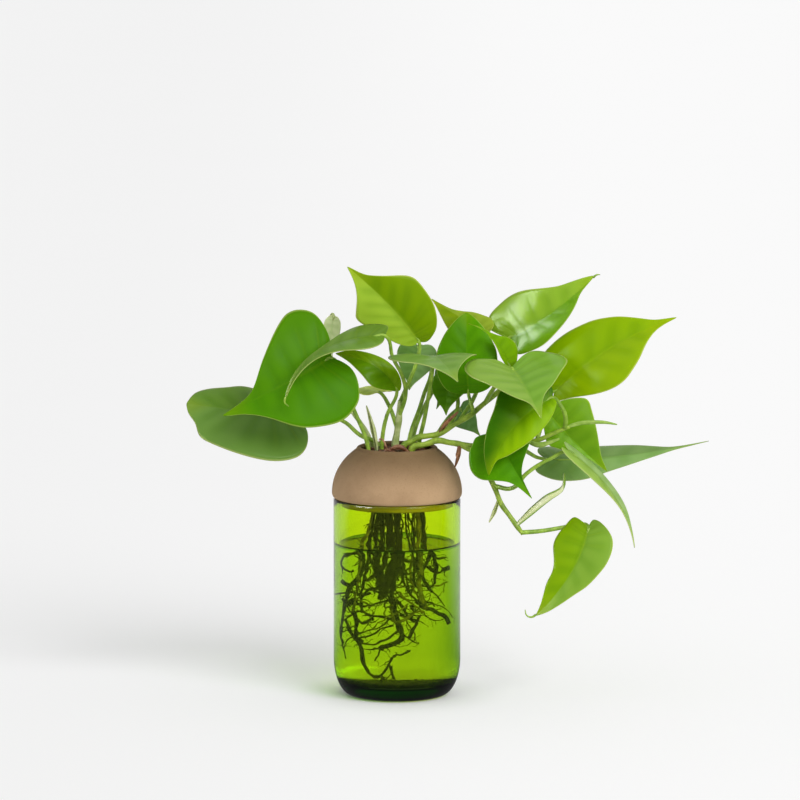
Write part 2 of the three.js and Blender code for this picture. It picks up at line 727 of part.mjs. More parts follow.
function bladeSolid({ midrib, face, halves, raised = [0, 0], edges = [heartEdge, heartEdge] }) {
  const [base, middle, tip] = midrib.map(fromCrown);
  const bend = middle.clone().multiplyScalar(2).addScaledVector(base, -0.5).addScaledVector(tip, -0.5);
  const rib = new THREE.QuadraticBezierCurve3(base, bend, tip);
  const length = rib.getLength();
  const upper = new THREE.Vector3(...face).normalize();

  // A place on the blade: along the midrib, across one half (1 is its edge), and through the leaf.
  function place(along, across, half, through) {
    const held = THREE.MathUtils.clamp(along, 0, 1);
    const ahead = rib.getTangent(held);
    const normal = upper.clone().addScaledVector(ahead, -upper.dot(ahead)).normalize();
    const side = normal.clone().cross(ahead).multiplyScalar(half === 0 ? 1 : -1);
    const width = halves[half] * growth;
    const lift = THREE.MathUtils.degToRad(raised[half]);
    const swell = bladeSwell * width * Math.sin(Math.PI * Math.min(across, 1));
    const point = rib.getPoint(held).addScaledVector(ahead, (along - held) * length);
    point.addScaledVector(side, across * width * Math.cos(lift));
    return point.addScaledVector(normal, across * width * Math.sin(lift) + swell + through);
  }

  const rings = [];
  const outer = edges.map(leafEdge);
  for (let row = 1; row < bladeRows; row += 1) {
    const share = row / bladeRows;
    const ends = outer.map((edge) => edge.getPointAt(share));
    const on = (half, reach, through) =>
      place(THREE.MathUtils.lerp(share ** 2, ends[half].x, reach), ends[half].y * reach, half, through);
    const thick = bladeThickness / 2;
    const thin = thick * 0.75;
    rings.push([
      on(0, 0, thick),
      on(1, 0.5, thin),
      on(1, 1, 0),
      on(1, 0.5, -thin),
      on(0, 0, -thick),
      on(0, 0.5, -thin),
      on(0, 1, 0),
      on(0, 0.5, thin),
    ]);
  }
  return asSolid(loft(rings, base, tip));
}

const stalkRadii = [1.4, 1];

function stalkSolid({ stalk, midrib, bornBy }, extra = 0) {
  const points = [...growthPoints(stalk, bornBy), fromCrown(midrib[0])];
  const ahead = fromCrown(midrib[1]).sub(points.at(-1)).normalize();
  points.push(points.at(-1).clone().addScaledVector(ahead, 3 * bladeThickness));
  return asSolid(tube(points, stalkRadii, stalkSides, stalkStep, extra));
}

function stemSolid({ path, radii, bornBy }, extra = 0) {
  return asSolid(tube(growthPoints(path, bornBy), radii, stalkSides, stalkStep, extra));
}

function rootMass() {
  const inWater = ([across, away, down]) =>
    new THREE.Vector3(
      across * rootReach, away * rootReach, spigotBottom - growthGap - down * rootDrop,
    );
  const lobes = 3;
  const rings = rootCore.map(({ down, share }) => {
    const ring = [];
    for (let side = 0; side < 3 * lobes; side += 1) {
      const turn = (-side / (3 * lobes)) * 2 * Math.PI;
      const reach = share * (0.88 + 0.12 * Math.cos(lobes * turn + 5 * down));
      ring.push(inWater([reach * Math.cos(turn), reach * Math.sin(turn), down]));
    }
    return ring;
  });
  const core = asSolid(loft(rings, inWater([0, 0, 0]), inWater([0, 0, rootCoreEnd])));
  const strands = roots.map((path) => asSolid(tube(path.map(inWater), rootRadii, rootSides, stalkStep)));
  return asGeometry(strands.reduce((mass, strand) => mass.add(strand), core));
}

const planter = new THREE.Group();

function addPiece(name, geometry, finish) {
  const mesh = new THREE.Mesh(geometry, new THREE.MeshStandardMaterial(finishes[finish]));
  mesh.name = name;
  planter.add(mesh);
}

const bearers = new Map(stems.map((stem) => [stem.name, stemSolid(stem, growthGap)]));

// A piece ends where it meets its bearer. A sliver left on the far side of a thin bearer is dropped.
function cutByBearer(solid, bornBy) {
  if (!bornBy) {
    return solid;
  }
  const parts = solid.subtract(bearers.get(bornBy)).decompose();
  return parts.reduce((kept, part) => (part.volume() > kept.volume() ? part : kept));
}

const inSubstrate = [
  ...[...stems, ...sheaths].filter(({ bornBy }) => !bornBy).map((piece) => stemSolid(piece, growthGap)),
  ...leaves.filter(({ bornBy }) => !bornBy).map((leaf) => stalkSolid(leaf, growthGap)),
];

addPiece("glass_vessel", glassVessel(), "glass");
addPiece("clay_top", clayTop(), "clay");
addPiece("substrate_plug", substratePlug(inSubstrate), "substrate");
for (const stem of stems) {
  addPiece(stem.name, asGeometry(cutByBearer(stemSolid(stem), stem.bornBy)), "stem");
}
for (const leaf of leaves) {
  const whole = bladeSolid(leaf).add(stalkSolid(leaf));
  addPiece(leaf.name, asGeometry(cutByBearer(whole, leaf.bornBy)), leaf.finish);
}
for (const sheath of sheaths) {
  addPiece(sheath.name, asGeometry(cutByBearer(stemSolid(sheath), sheath.bornBy)), sheath.finish);
}
addPiece("root_mass", rootMass(), "root");

export default planter;
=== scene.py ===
import json
import math
import random

import bpy
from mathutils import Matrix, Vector, noise


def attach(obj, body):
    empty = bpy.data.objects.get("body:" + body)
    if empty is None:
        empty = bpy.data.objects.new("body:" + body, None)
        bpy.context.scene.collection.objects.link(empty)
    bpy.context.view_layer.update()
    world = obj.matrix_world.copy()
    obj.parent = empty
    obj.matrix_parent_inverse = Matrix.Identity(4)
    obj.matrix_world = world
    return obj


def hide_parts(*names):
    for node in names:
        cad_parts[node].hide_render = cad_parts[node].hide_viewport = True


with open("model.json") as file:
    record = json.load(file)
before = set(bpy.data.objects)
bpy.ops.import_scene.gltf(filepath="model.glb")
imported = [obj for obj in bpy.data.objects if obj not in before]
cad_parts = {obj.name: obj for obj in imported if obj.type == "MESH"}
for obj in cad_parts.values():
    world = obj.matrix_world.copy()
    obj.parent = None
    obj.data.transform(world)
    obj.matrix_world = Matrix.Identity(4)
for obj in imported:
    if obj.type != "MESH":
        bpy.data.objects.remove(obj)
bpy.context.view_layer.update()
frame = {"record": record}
slots = {node["node"]: node["material_slot"] for node in frame["record"]["subparts"]}
mm = 0.001
white = (1, 1, 1, 1)
crownHeight = 145.0  # all plant points are right, away and up from the crown, in mm


# camera

view = {"target": (1.77, 0, 175.5), "elevation": 8, "distance": 4000, "picture": 800, "pixel": 0.589,
        "sensor": 36, "clipEnd": 100}


def placeCamera():
    lean = math.radians(view["elevation"])
    back = Vector((0, -math.cos(lean), math.sin(lean))) * view["distance"]
    spot = (Vector(view["target"]) + back) * mm
    bpy.ops.object.camera_add(location=spot, rotation=(math.pi / 2 - lean, 0, 0))
    camera = bpy.context.object
    camera.name = "photoCamera"
    camera.data.sensor_width = view["sensor"]
    camera.data.lens = view["sensor"] * view["distance"] / (view["picture"] * view["pixel"])
    camera.data.clip_end = view["clipEnd"]
    bpy.context.scene.camera = camera


placeCamera()
print("camera placed")


# shader sheet: a wire is one outlet, and sums on wires add Math nodes

class Wire:
    def __init__(self, finish, socket):
        self.finish = finish
        self.socket = socket

    def maths(self, operation, first, second=0.0):
        return self.finish.node("Math", {"operation": operation}, {0: first, 1: second})

    def __add__(self, other):
        return self.maths("ADD", self, other)

    def __sub__(self, other):
        return self.maths("SUBTRACT", self, other)

    def __rsub__(self, other):
        return self.maths("SUBTRACT", other, self)

    def __mul__(self, other):
        return self.maths("MULTIPLY", self, other)

    def __mod__(self, other):
        return self.maths("FLOORED_MODULO", self, other)

    def __abs__(self):
        return self.maths("ABSOLUTE", self)

    __radd__ = __add__
    __rmul__ = __mul__

    def over(self, low, high):  # 0 below low, 1 above high, smooth between
        return self.finish.node("MapRange", {"interpolation_type": "SMOOTHSTEP"},
                                {"Value": self, "From Min": low, "From Max": high})

    def outlet(self, name):
        return Wire(self.finish, self.socket.node.outputs[name])


class Finish:
    def __init__(self, owner):
        self.owner = owner
        owner.use_nodes = True
        self.tree = owner.node_tree
        self.tree.nodes.clear()

    def node(self, kind, settings=None, sockets=None, outlet=0):
        made = self.tree.nodes.new("ShaderNode" + kind)
        for key, value in (settings or {}).items():
            setattr(made, key, value)
        for key, value in (sockets or {}).items():
            if isinstance(value, Wire):
                self.tree.links.new(value.socket, made.inputs[key])
            else:
                made.inputs[key].default_value = value
        return Wire(self, made.outputs[outlet]) if made.outputs else made

    def coords(self, kind="Object"):
        return self.node("TexCoord", outlet=kind)

    def split(self, coords):  # the wire is X, and Y and Z are its other outlets
        return self.node("SeparateXYZ", None, {0: coords})

    def grain(self, coords, scale, detail=3.0, rough=0.55):
        return self.node("TexNoise", None, {"Vector": coords, "Scale": scale, "Detail": detail,
                                            "Roughness": rough})

    def blend(self, share, first, second):  # of two colours
        return self.node("Mix", {"data_type": "RGBA"}, {0: share, 6: first, 7: second}, 2)

    def deepen(self, share, colour, by):  # multiplied towards a darker colour
        return self.node("Mix", {"data_type": "RGBA", "blend_type": "MULTIPLY"},
                         {0: share, 6: colour, 7: tuple(by) + (1,)}, 2)

    def bump(self, height, strength, distance):
        return self.node("Bump", None, {"Strength": strength, "Distance": distance, "Height": height})

    def body(self, colour, roughness, more):
        return self.node("BsdfPrincipled", None, {"Base Color": colour, "Roughness": roughness, **more})

    def mixed(self, share, first, second):  # of two shaders
        return self.node("MixShader", None, {0: share, 1: first, 2: second})

    def litThrough(self, clear, colour):  # lamps shine through, so its shadow is not black
        through = self.node("BsdfTransparent", None, {"Color": colour})
        return self.mixed(self.node("LightPath", outlet="Is Shadow Ray"), clear, through)

    def glowing(self, level):
        return self.node("Emission", None, {"Color": white, "Strength": level})

    def done(self, surface, **more):
        self.node("OutputMaterial", None, {"Surface": surface, **more})
        return self.owner

    def opaque(self, colour, roughness, rise, specular=0.5):
        return self.done(self.body(colour, roughness, {"Specular IOR Level": specular, "Normal": rise}))


def newFinish(name):
    return Finish(bpy.data.materials.new(name))


def tone(red, green, blue):  # screen colour, 0 to 255, as a linear colour
    def linear(c):
        c = min(max(c / 255, 0), 1)
        return c / 12.92 if c <= 0.04045 else ((c + 0.055) / 1.055) ** 2.4
    return tuple(linear(c) for c in (red, green, blue)) + (1.0,)


# handling

def selectOnly(*pieces):
    bpy.ops.object.select_all(action="DESELECT")
    for piece in pieces:
        piece.select_set(True)
    bpy.context.view_layer.objects.active = pieces[0]


def joined(*pieces):
    selectOnly(*pieces)
    bpy.ops.object.join()
    return bpy.context.object


def useModifier(piece, kind, **settings):
    selectOnly(piece)
    modifier = piece.modifiers.new(kind, kind)
    for key, value in settings.items():
        setattr(modifier, key, value)
    bpy.ops.object.modifier_apply(modifier=modifier.name)


def editMesh(piece, **steps):  # mesh operators in turn, each on the whole mesh
    selectOnly(piece)
    bpy.ops.object.mode_set(mode="EDIT")
    for name, settings in steps.items():
        bpy.ops.mesh.select_all(action="SELECT")
        getattr(bpy.ops.mesh, name)(**settings)
    bpy.ops.object.mode_set(mode="OBJECT")


def cleanMesh(piece, distance=2e-6):
    editMesh(piece, remove_doubles={"threshold": distance}, delete_loose={},
             normals_make_consistent={"inside": False})


def smoothShade(piece, angle=None):  # smooth all over, or up to an angle between faces
    selectOnly(piece)
    if angle:
        bpy.ops.object.shade_smooth_by_angle(angle=math.radians(angle))
    else:
        bpy.ops.object.shade_smooth()


def settle(piece, name, body, slot, *nodes):
    piece.name = name
    piece.data.name = name
    if nodes:
        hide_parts(*nodes)
    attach(piece, body)


def joinedName(node):
    words = node.split("_")
    return words[0] + "".join(word.title() for word in words[1:])


def settlePlant(piece, node):
    settle(piece, joinedName(node), "plant", slots[node], node)


def turned(name, section, steps, finish):  # a closed section of (radius, height) in mm, spun about the axis
    bpy.ops.mesh.primitive_circle_add(vertices=len(section), radius=0.01)
    piece = bpy.context.object
    piece.name = name
    for vertex, (radius, height) in zip(piece.data.vertices, section):
        vertex.co = (radius * mm, 0, height * mm)
    editMesh(piece, spin={"steps": steps, "angle": math.tau, "center": (0, 0, 0), "axis": (0, 0, 1)})
    cleanMesh(piece)
    piece.data.materials.append(finish)
    return piece


def arc(centre, reach, start, end, steps):  # of an ellipse, in degrees, both ends in
    turns = [math.radians(start + (end - start) * k / steps) for k in range(steps + 1)]
    return [(centre[0] + reach[0] * math.cos(a), centre[1] + reach[1] * math.sin(a)) for a in turns]


def run(first, last, steps):  # points from first to last, the last left out
    return [tuple(p + (q - p) * k / steps for p, q in zip(first, last)) for k in range(steps)]


def smoothAt(points, share):  # on a smooth curve through the points
    spans = len(points) - 1
    at = min(int(share * spans), spans - 1)
    t = share * spans - at
    p0, p1, p2, p3 = (points[min(max(at + k, 0), spans)] for k in (-1, 0, 1, 2))
    return (p1 * 2 + (p2 - p0) * t + (p0 * 2 - p1 * 5 + p2 * 4 - p3) * t ** 2
            + (p1 * 3 - p0 - p2 * 3 + p3) * t ** 3) * 0.5


def around(reach, turn, height):
    return Vector((reach * math.cos(turn), reach * math.sin(turn), height))


def fromCrown(point):
    return Vector((point[0], point[1], point[2] + crownHeight)) * mm


def plantedPath(shape, key, depth):  # a planted path starts that deep in the substrate
    path = [fromCrown(point) for point in shape[key]]
    if shape.get("planted"):
        path.insert(0, path[0] - Vector((0, 0, depth * mm)))
    return path


def drawnTubes(name, routes, sides, smoothness, finish):  # a route is a list of (place in m, radius in mm)
    bpy.ops.curve.primitive_bezier_curve_add()
    piece = bpy.context.object
    piece.name = name
    curve = piece.data
    curve.splines.clear()
    for route in routes:
        spline = curve.splines.new("BEZIER")
        spline.bezier_points.add(len(route) - 1)
        for knot, (place, radius) in zip(spline.bezier_points, route):
            knot.co = place
            knot.radius = radius
            knot.handle_left_type = knot.handle_right_type = "AUTO"
    curve.bevel_depth = mm
    curve.bevel_resolution = sides
    curve.resolution_u = smoothness
    curve.use_fill_caps = True
    selectOnly(piece)
    bpy.ops.object.convert(target="MESH")
    piece = bpy.context.object
    cleanMesh(piece, 1e-7)
    smoothShade(piece)
    piece.data.materials.append(finish)
    return piece


def scattered(first, count, nextPlace, rng, uneven):  # copies of a crumb, each with its own shape and place
    copies = []
    for _ in range(count):
        copy = first.copy()
        copy.data = first.data.copy()
        bpy.context.collection.objects.link(copy)
        copy.scale, copy.rotation_euler, copy.location = nextPlace()
        for vertex in copy.data.vertices:
            vertex.co *= rng.uniform(*uneven)
        copies.append(copy)
    selectOnly(first)
    bpy.ops.object.delete()
    crumbs = joined(*copies)
    bpy.ops.object.transform_apply(location=True, rotation=True, scale=True)
    return crumbs


# glass

glass = {"radius": 37.5, "height": 117.5, "wall": 3.2, "floor": 8, "heel": (10.7, 22), "corner": 7,
         "rim": 1.1, "steps": 128, "ripple": 0.12, "absorbs": (0.916, 0.965, 0.002, 1), "density": 1150,
         "shadow": (0.94, 0.96, 0.92, 1), "footShade": (0.5, 0.26, 0.5, 1), "rightSideShade": (0.76, 0.84, 0.95)}


def glassFinish():
    f = newFinish("greenGlass")
    coords = f.coords()
    wave = f.bump(f.grain(coords, 55, 2), 0.08, 0.001)
    across = f.split(coords)
    height = across.outlet("Z")
    tint = f.blend(height.over(0.003, 0.013), glass["footShade"], white)  # painted shade in the foot, for the shadow on the floor under the glass
    below = 1 - height.over(0.07, 0.092)
    # painted dark reflection down the right side, below the water
    tint = f.deepen(across.over(0.018, 0.036) * below, tint, glass["rightSideShade"])
    clear = f.body(tint, 0.015, {"Transmission Weight": 1, "IOR": 1.5, "Normal": wave})
    inside = f.node("VolumeAbsorption", None, {"Color": glass["absorbs"], "Density": glass["density"]})
    return f.done(f.litThrough(clear, glass["shadow"]), Volume=inside)


def makeGlass():
    g = glass
    radius, rim, corner, floor = g["radius"], g["rim"], g["corner"], g["floor"]
    wide, tall = g["heel"]
    inner = radius - g["wall"]
    top = g["height"] - rim
    low = floor + corner
    section = run((0, 0), (radius - wide, 0), 4)
    section += arc((radius - wide, tall), (wide, tall), -90, 0, 16)
    section += run((radius, tall + 5), (radius, top), 14)
    section += arc((radius - rim, top), (rim, rim), 0, 90, 5)
    section += arc((inner + rim, top), (rim, rim), 90, 180, 5)
    section += run((inner, top - 5), (inner, low), 14)
    section += arc((inner - corner, low), (corner, corner), 0, -90, 8)
    section += run((inner - corner - 4, floor), (0, floor), 4) + [(0, floor)]
    piece = turned("glassVessel", section, g["steps"], glassFinish())
    for vertex in piece.data.vertices:  # a blown wall is never quite even inside
        flat = Vector((vertex.co.x, vertex.co.y, 0))
        if 0.03 < flat.length < (inner + 0.2) * mm and vertex.co.z > low * mm:
            sway = noise.noise(Vector((vertex.co.x * 60, vertex.co.y * 60, vertex.co.z * 22)))
            vertex.co += flat.normalized() * sway * g["ripple"] * mm
    smoothShade(piece, 50)
    settle(piece, "glassVessel", "vessel", "glass", "glass_vessel")


makeGlass()
print("glass made")


# water: its edge climbs the glass, given as in from the wall and above the level

water = {"level": 90, "wetting": 0.2, "climb": [(0, 1.3), (0.5, 0.585), (1.2, 0.208), (2.4, 0.03)],
         "steps": 96, "tint": (0.62, 0.75, 0.5, 1), "surface": (0.3, 0.44, 0.4),
         "shadow": (0.97, 0.98, 0.97, 1)}


def waterFinish():
    f = newFinish("clearWater")
    height = f.split(f.coords()).outlet("Z")
    # the tint is partly the water's own and partly painted shadow of the floor seen through it, and the top
    # is darker as painted shade
    atTop = height.over((water["level"] - 0.9) * mm, (water["level"] - 0.3) * mm)
    tint = f.deepen(atTop, water["tint"], water["surface"])
    clear = f.body(tint, 0.0, {"Transmission Weight": 1, "IOR": 1.333})
    return f.done(f.litThrough(clear, water["shadow"]))


def makeWater():
    inner = glass["radius"] - glass["wall"] + water["wetting"]  # no air between water and glass
    corner, floor = glass["corner"], glass["floor"] - water["wetting"]
    level, climb = water["level"], water["climb"]
    section = run((0, floor), (inner - corner, floor), 4)
    section += arc((inner - corner, floor + corner), (corner, corner), -90, 0, 8)
    section += run((inner, floor + corner + 5), (inner, level + climb[0][1]), 8)
    section += [(inner - gap, level + rise) for gap, rise in climb]
    section += run((inner - 4, level), (0, level), 4) + [(0, level)]
    piece = turned("water", section, water["steps"], waterFinish())
    smoothShade(piece, 60)
    settle(piece, "water", "vessel", "glass")


makeWater()
print("water poured")


# clay top

clay = {"radius": 38.4, "seat": 117.8, "height": 30.2, "edge": (1.8, 3), "wall": 4.5, "mouth": 24, "lip": 3,
        "spigot": 33.8, "spigotDepth": 4.5, "floor": 5, "corner": 5, "drain": 16.5, "chamfer": 0.6,
        "steps": 128, "light": (178, 147, 112), "dark": (160, 130, 97), "sand": (202, 174, 138),
        "speck": (112, 88, 62), "damp": (0.48, 0.46, 0.4)}


def clayFinish():
    f = newFinish("drySandClay")
    coords = f.coords()
    cloud = f.grain(coords, 45, 4)
    sand = f.grain(coords, 2600, 2, 0.6)
    grit = f.grain(coords, 1100, 1, 0.5)
    colour = f.blend(cloud.over(0.3, 0.7), tone(*clay["dark"]), tone(*clay["light"]))
    colour = f.blend(sand.over(0.42, 0.72) * 0.14, colour, tone(*clay["sand"]))
    colour = f.blend(grit.over(0.6, 0.74) * 0.22, colour, tone(*clay["speck"]))
    height = f.split(coords).outlet("Z")  # painted shade of the leaves above, darker towards the mouth
    colour = f.deepen((height + cloud * 0.006).over(0.128, 0.151), colour, clay["damp"])
    return f.opaque(colour, 0.86 + sand * 0.12, f.bump(sand + grit * 0.8, 0.35, 0.0004), 0.25)


def makeClayTop():
    c = clay
    radius, seat, mouth, spigot, drain = (c[key] for key in ("radius", "seat", "mouth", "spigot", "drain"))
    edge, edgeHeight = c["edge"]
    cut, corner, halfLip = c["chamfer"], c["corner"], c["lip"] / 2
    centre = seat + edgeHeight
    shoulder = seat + c["height"] - halfLip
    foot = seat - c["spigotDepth"]
    floor = foot + c["floor"]
    cavity = radius - c["wall"]

    def dome(wide, end):  # the reach of an ellipse that passes its end at the shoulder, and the angle there
        rise = (shoulder - centre) / math.sqrt(1 - (end / wide) ** 2)
        return (wide, rise), math.degrees(math.acos(end / wide))

    outer, outerEnd = dome(radius, mouth)
    inner, innerEnd = dome(cavity, mouth - c["lip"])
    section = [(spigot, foot + cut)] + run((spigot, foot), (spigot, seat), 4)[1:]
    section += run((spigot, seat), (radius - edge, seat), 3)
    section += arc((radius - edge, centre), (edge, edgeHeight), -90, 0, 8)
    section += arc((0, centre), outer, 2.5, outerEnd, 26)
    section += arc((mouth - halfLip, shoulder), (halfLip, halfLip), 18, 180, 10)
    section += arc((0, centre), inner, innerEnd - 3, 0, 14)
    section += arc((cavity - corner, centre), (corner, centre - floor), -18, -90, 5)
    section += [(drain + cut, floor), (drain, floor - cut), (drain, foot + cut), (drain + cut, foot),
                (spigot - cut, foot)]
    piece = turned("clayTop", section, c["steps"], clayFinish())
    smoothShade(piece, 50)
    settle(piece, "clayTop", "top", "clay", "clay_top")


makeClayTop()
print("clay top made")


# dry and green stalks

def stalkFinish(name, light, dark):
    f = newFinish(name)
    coords = f.coords()
    streak = f.grain(coords, 160, 4, 0.6)
    dots = f.grain(coords, 1300, 1)
    colour = f.blend(streak.over(0.35, 0.68), tone(*dark), tone(*light))
    colour = f.blend(dots.over(0.62, 0.72) * 0.14, colour, tone(214, 220, 150))
    return f.opaque(colour, 0.42 + dots * 0.1, f.bump(streak, 0.2, 0.0004))


vineFinish = stalkFinish("vineGreen", (164, 190, 62), (118, 148, 38))
paleStemFinish = stalkFinish("paleStem", (206, 214, 152), (150, 170, 88))
leafStalkFinish = stalkFinish("leafStalkGreen", (156, 190, 62), (116, 152, 36))


# substrate: a lumpy plug of coir, with bark chips, fibres and dry scraps on it

soil = {"section": [(0, 113.4), (10, 113.4), (15.9, 113.4), (15.9, 118.9), (24, 118.9), (30, 119.4),
                    (32.8, 121.5), (33, 126), (31.2, 133), (27.5, 139), (23, 142.3), (20.2, 143.6),
                    (18, 144.2), (15.5, 144.5), (13, 144.7), (10.5, 144.9), (8, 145), (5.5, 145), (3, 145),
                    (0, 145)],
        "steps": 64, "brim": 143, "edge": 20.5, "slope": 6, "heap": 1.8, "seed": 11,
        "chips": 170, "chipReach": 18.6, "chipHeight": 145.1, "heapReach": 20,
        "fibres": 46, "fibreReach": 17.5, "fibreHeight": 145.0, "fibreEdge": 19,
        "curls": [[((-5, -12, 0), 0.7), ((-6.5, -12, 4.5), 0.6), ((-8, -12, 8), 0.5), ((-10, -11, 9), 0.4),
                   ((-10.6, -11, 7), 0.25)],
                  [((-5, -14, 2), 0.8), ((-1, -14.5, 4.6), 1.3), ((3, -14.5, 4.2), 1.5),
                   ((6.5, -14, 1.5), 0.7)],
                  [((-8, -14, 1), 0.6), ((-5.5, -14.5, 3), 1), ((-3, -14.5, 1.5), 0.6)]]}


def soilFinish():
    f = newFinish("darkCoir")
    crumb = f.grain(f.coords(), 420, 5, 0.7)
    colour = f.blend(crumb.over(0.35, 0.7), tone(30, 20, 14), tone(86, 62, 42))
    return f.opaque(colour, 0.95, f.bump(crumb, 0.8, 0.001))


def barkFinish():
    f = newFinish("redBark")
    coords = f.coords()
    streak = f.grain(coords, 260, 4, 0.65)
    patch = f.grain(coords, 70, 1)
    colour = f.blend(streak.over(0.3, 0.7), tone(58, 33, 20), tone(140, 88, 54))
    colour = f.blend(patch.over(0.5, 0.62) * 0.7, colour, tone(44, 28, 20))
    return f.opaque(colour, 0.82, f.bump(streak, 0.6, 0.0006))


def makeSoil():
    s = soil
    rng = random.Random(s["seed"])
    bark = barkFinish()
    plug = turned("coirPlug", s["section"], s["steps"], soilFinish())
    for vertex in plug.data.vertices:
        if vertex.co.z > s["brim"] * mm:
            inside = (s["edge"] * mm - math.hypot(vertex.co.x, vertex.co.y)) / (s["slope"] * mm)
            lump = noise.noise(vertex.co * 260) * 0.9 + noise.noise(vertex.co * 700) * 0.5
            vertex.co.z += (lump + s["heap"]) * mm * min(1, max(0, inside))
    smoothShade(plug, 60)

    def chipPlace():
        long = rng.uniform(1.6, 4.6)
        reach = s["chipReach"] * math.sqrt(rng.random())
        turn = rng.uniform(0, math.tau)
        scale = (long * mm, long * rng.uniform(0.35, 0.7) * mm, rng.uniform(0.5, 1.3) * mm)
        tilt = (rng.uniform(-0.5, 0.5), rng.uniform(-0.5, 0.5), rng.uniform(0, math.tau))
        heap = s["heap"] * (1 - (reach / s["heapReach"]) ** 2)
        return scale, tilt, around(reach, turn, s["chipHeight"] + heap + rng.uniform(-0.3, 0.7)) * mm

    bpy.ops.mesh.primitive_cube_add(size=1)
    chip = bpy.context.object
    editMesh(chip, bevel={"offset": 0.16, "segments": 1, "affect": "EDGES"})
    chip.data.materials.append(bark)
    chips = scattered(chip, s["chips"], chipPlace, rng, (0.78, 1.12))
    smoothShade(chips, 25)

    routes = []
    for _ in range(s["fibres"]):
        spot = around(s["fibreReach"] * math.sqrt(rng.random()), rng.uniform(0, math.tau), s["fibreHeight"])
        aim = rng.uniform(0, math.tau)
        route = []
        for k in range(5):
            lift = 0.4 + rng.uniform(0, 1.1) if 0 < k < 4 else -0.6
            route.append(((spot + Vector((0, 0, lift))) * mm, 0.22 - 0.02 * k))
            aim += rng.uniform(-0.7, 0.7)
            step = Vector((math.cos(aim), math.sin(aim), 0)) * rng.uniform(1.2, 2.4)
            if math.hypot(spot.x + step.x, spot.y + step.y) < s["fibreEdge"]:
                spot = spot + step
        routes.append(route)
    fibres = drawnTubes("fibres", routes, 0, 3, bark)
    curls = [[(fromCrown(point), radius) for point, radius in curl] for curl in s["curls"]]
    scraps = drawnTubes("dryScraps", curls, 2, 6, stalkFinish("dryScrap", (186, 140, 104), (112, 66, 40)))
    settle(joined(plug, chips, fibres, scraps), "coirPlug", "plant", "substrate", "substrate_plug")


makeSoil()
print("substrate made")


# stems: a joint of the vine stands a little proud, and the growing end is thin

stemSettings = {"depth": 10, "joint": 1.06, "between": 0.93, "end": 0.8}
stemShapes = {
    "stem_upright": {"planted": True, "radii": (2.3, 1.8), "path": [(-1, 2, 4), (1, 2, 18), (2, 2, 30)]},
    "vine_upper": {"planted": True, "radii": (2.0, 1.5),
        "path": [(4, -5, 4), (12, -6, 9), (24, -6, 11), (43, -4, 22), (58, 0, 34), (68, 2, 42)]},
    "vine_lower": {"planted": True, "radii": (2.0, 1.4),
        "path": [(9, -9, 3), (24, -11, 8), (37, -13, 6), (45, -15, 2), (51, -17, -7), (57, -18, -18),
                 (61, -20, -28), (71, -22, -42), (74, -22, -46)]},
    "vine_side": {"radii": (1.6, 1.3),
        "path": [(37, -13, 6), (50, -15, 5), (70, -20, 8), (82, -24, 10), (101, -26, 18.5)]},
}


def makeStems():
    s = stemSettings
    for node, shape in stemShapes.items():
        path = plantedPath(shape, "path", s["depth"])
        first, last = shape["radii"]
        spans = len(path) - 1
        route = []
        for k, place in enumerate(path):
            radius = first + (last - first) * k / spans
            if k > 0:
                route.append((path[k - 1].lerp(place, 0.5), radius * s["between"]))
            route.append((place, radius * (s["joint"] if k < spans else s["end"])))
        finish = paleStemFinish if node == "stem_upright" else vineFinish
        settlePlant(drawnTubes(node + "Fine", [route], 4, 8, finish), node)


makeStems()
print("stems made")
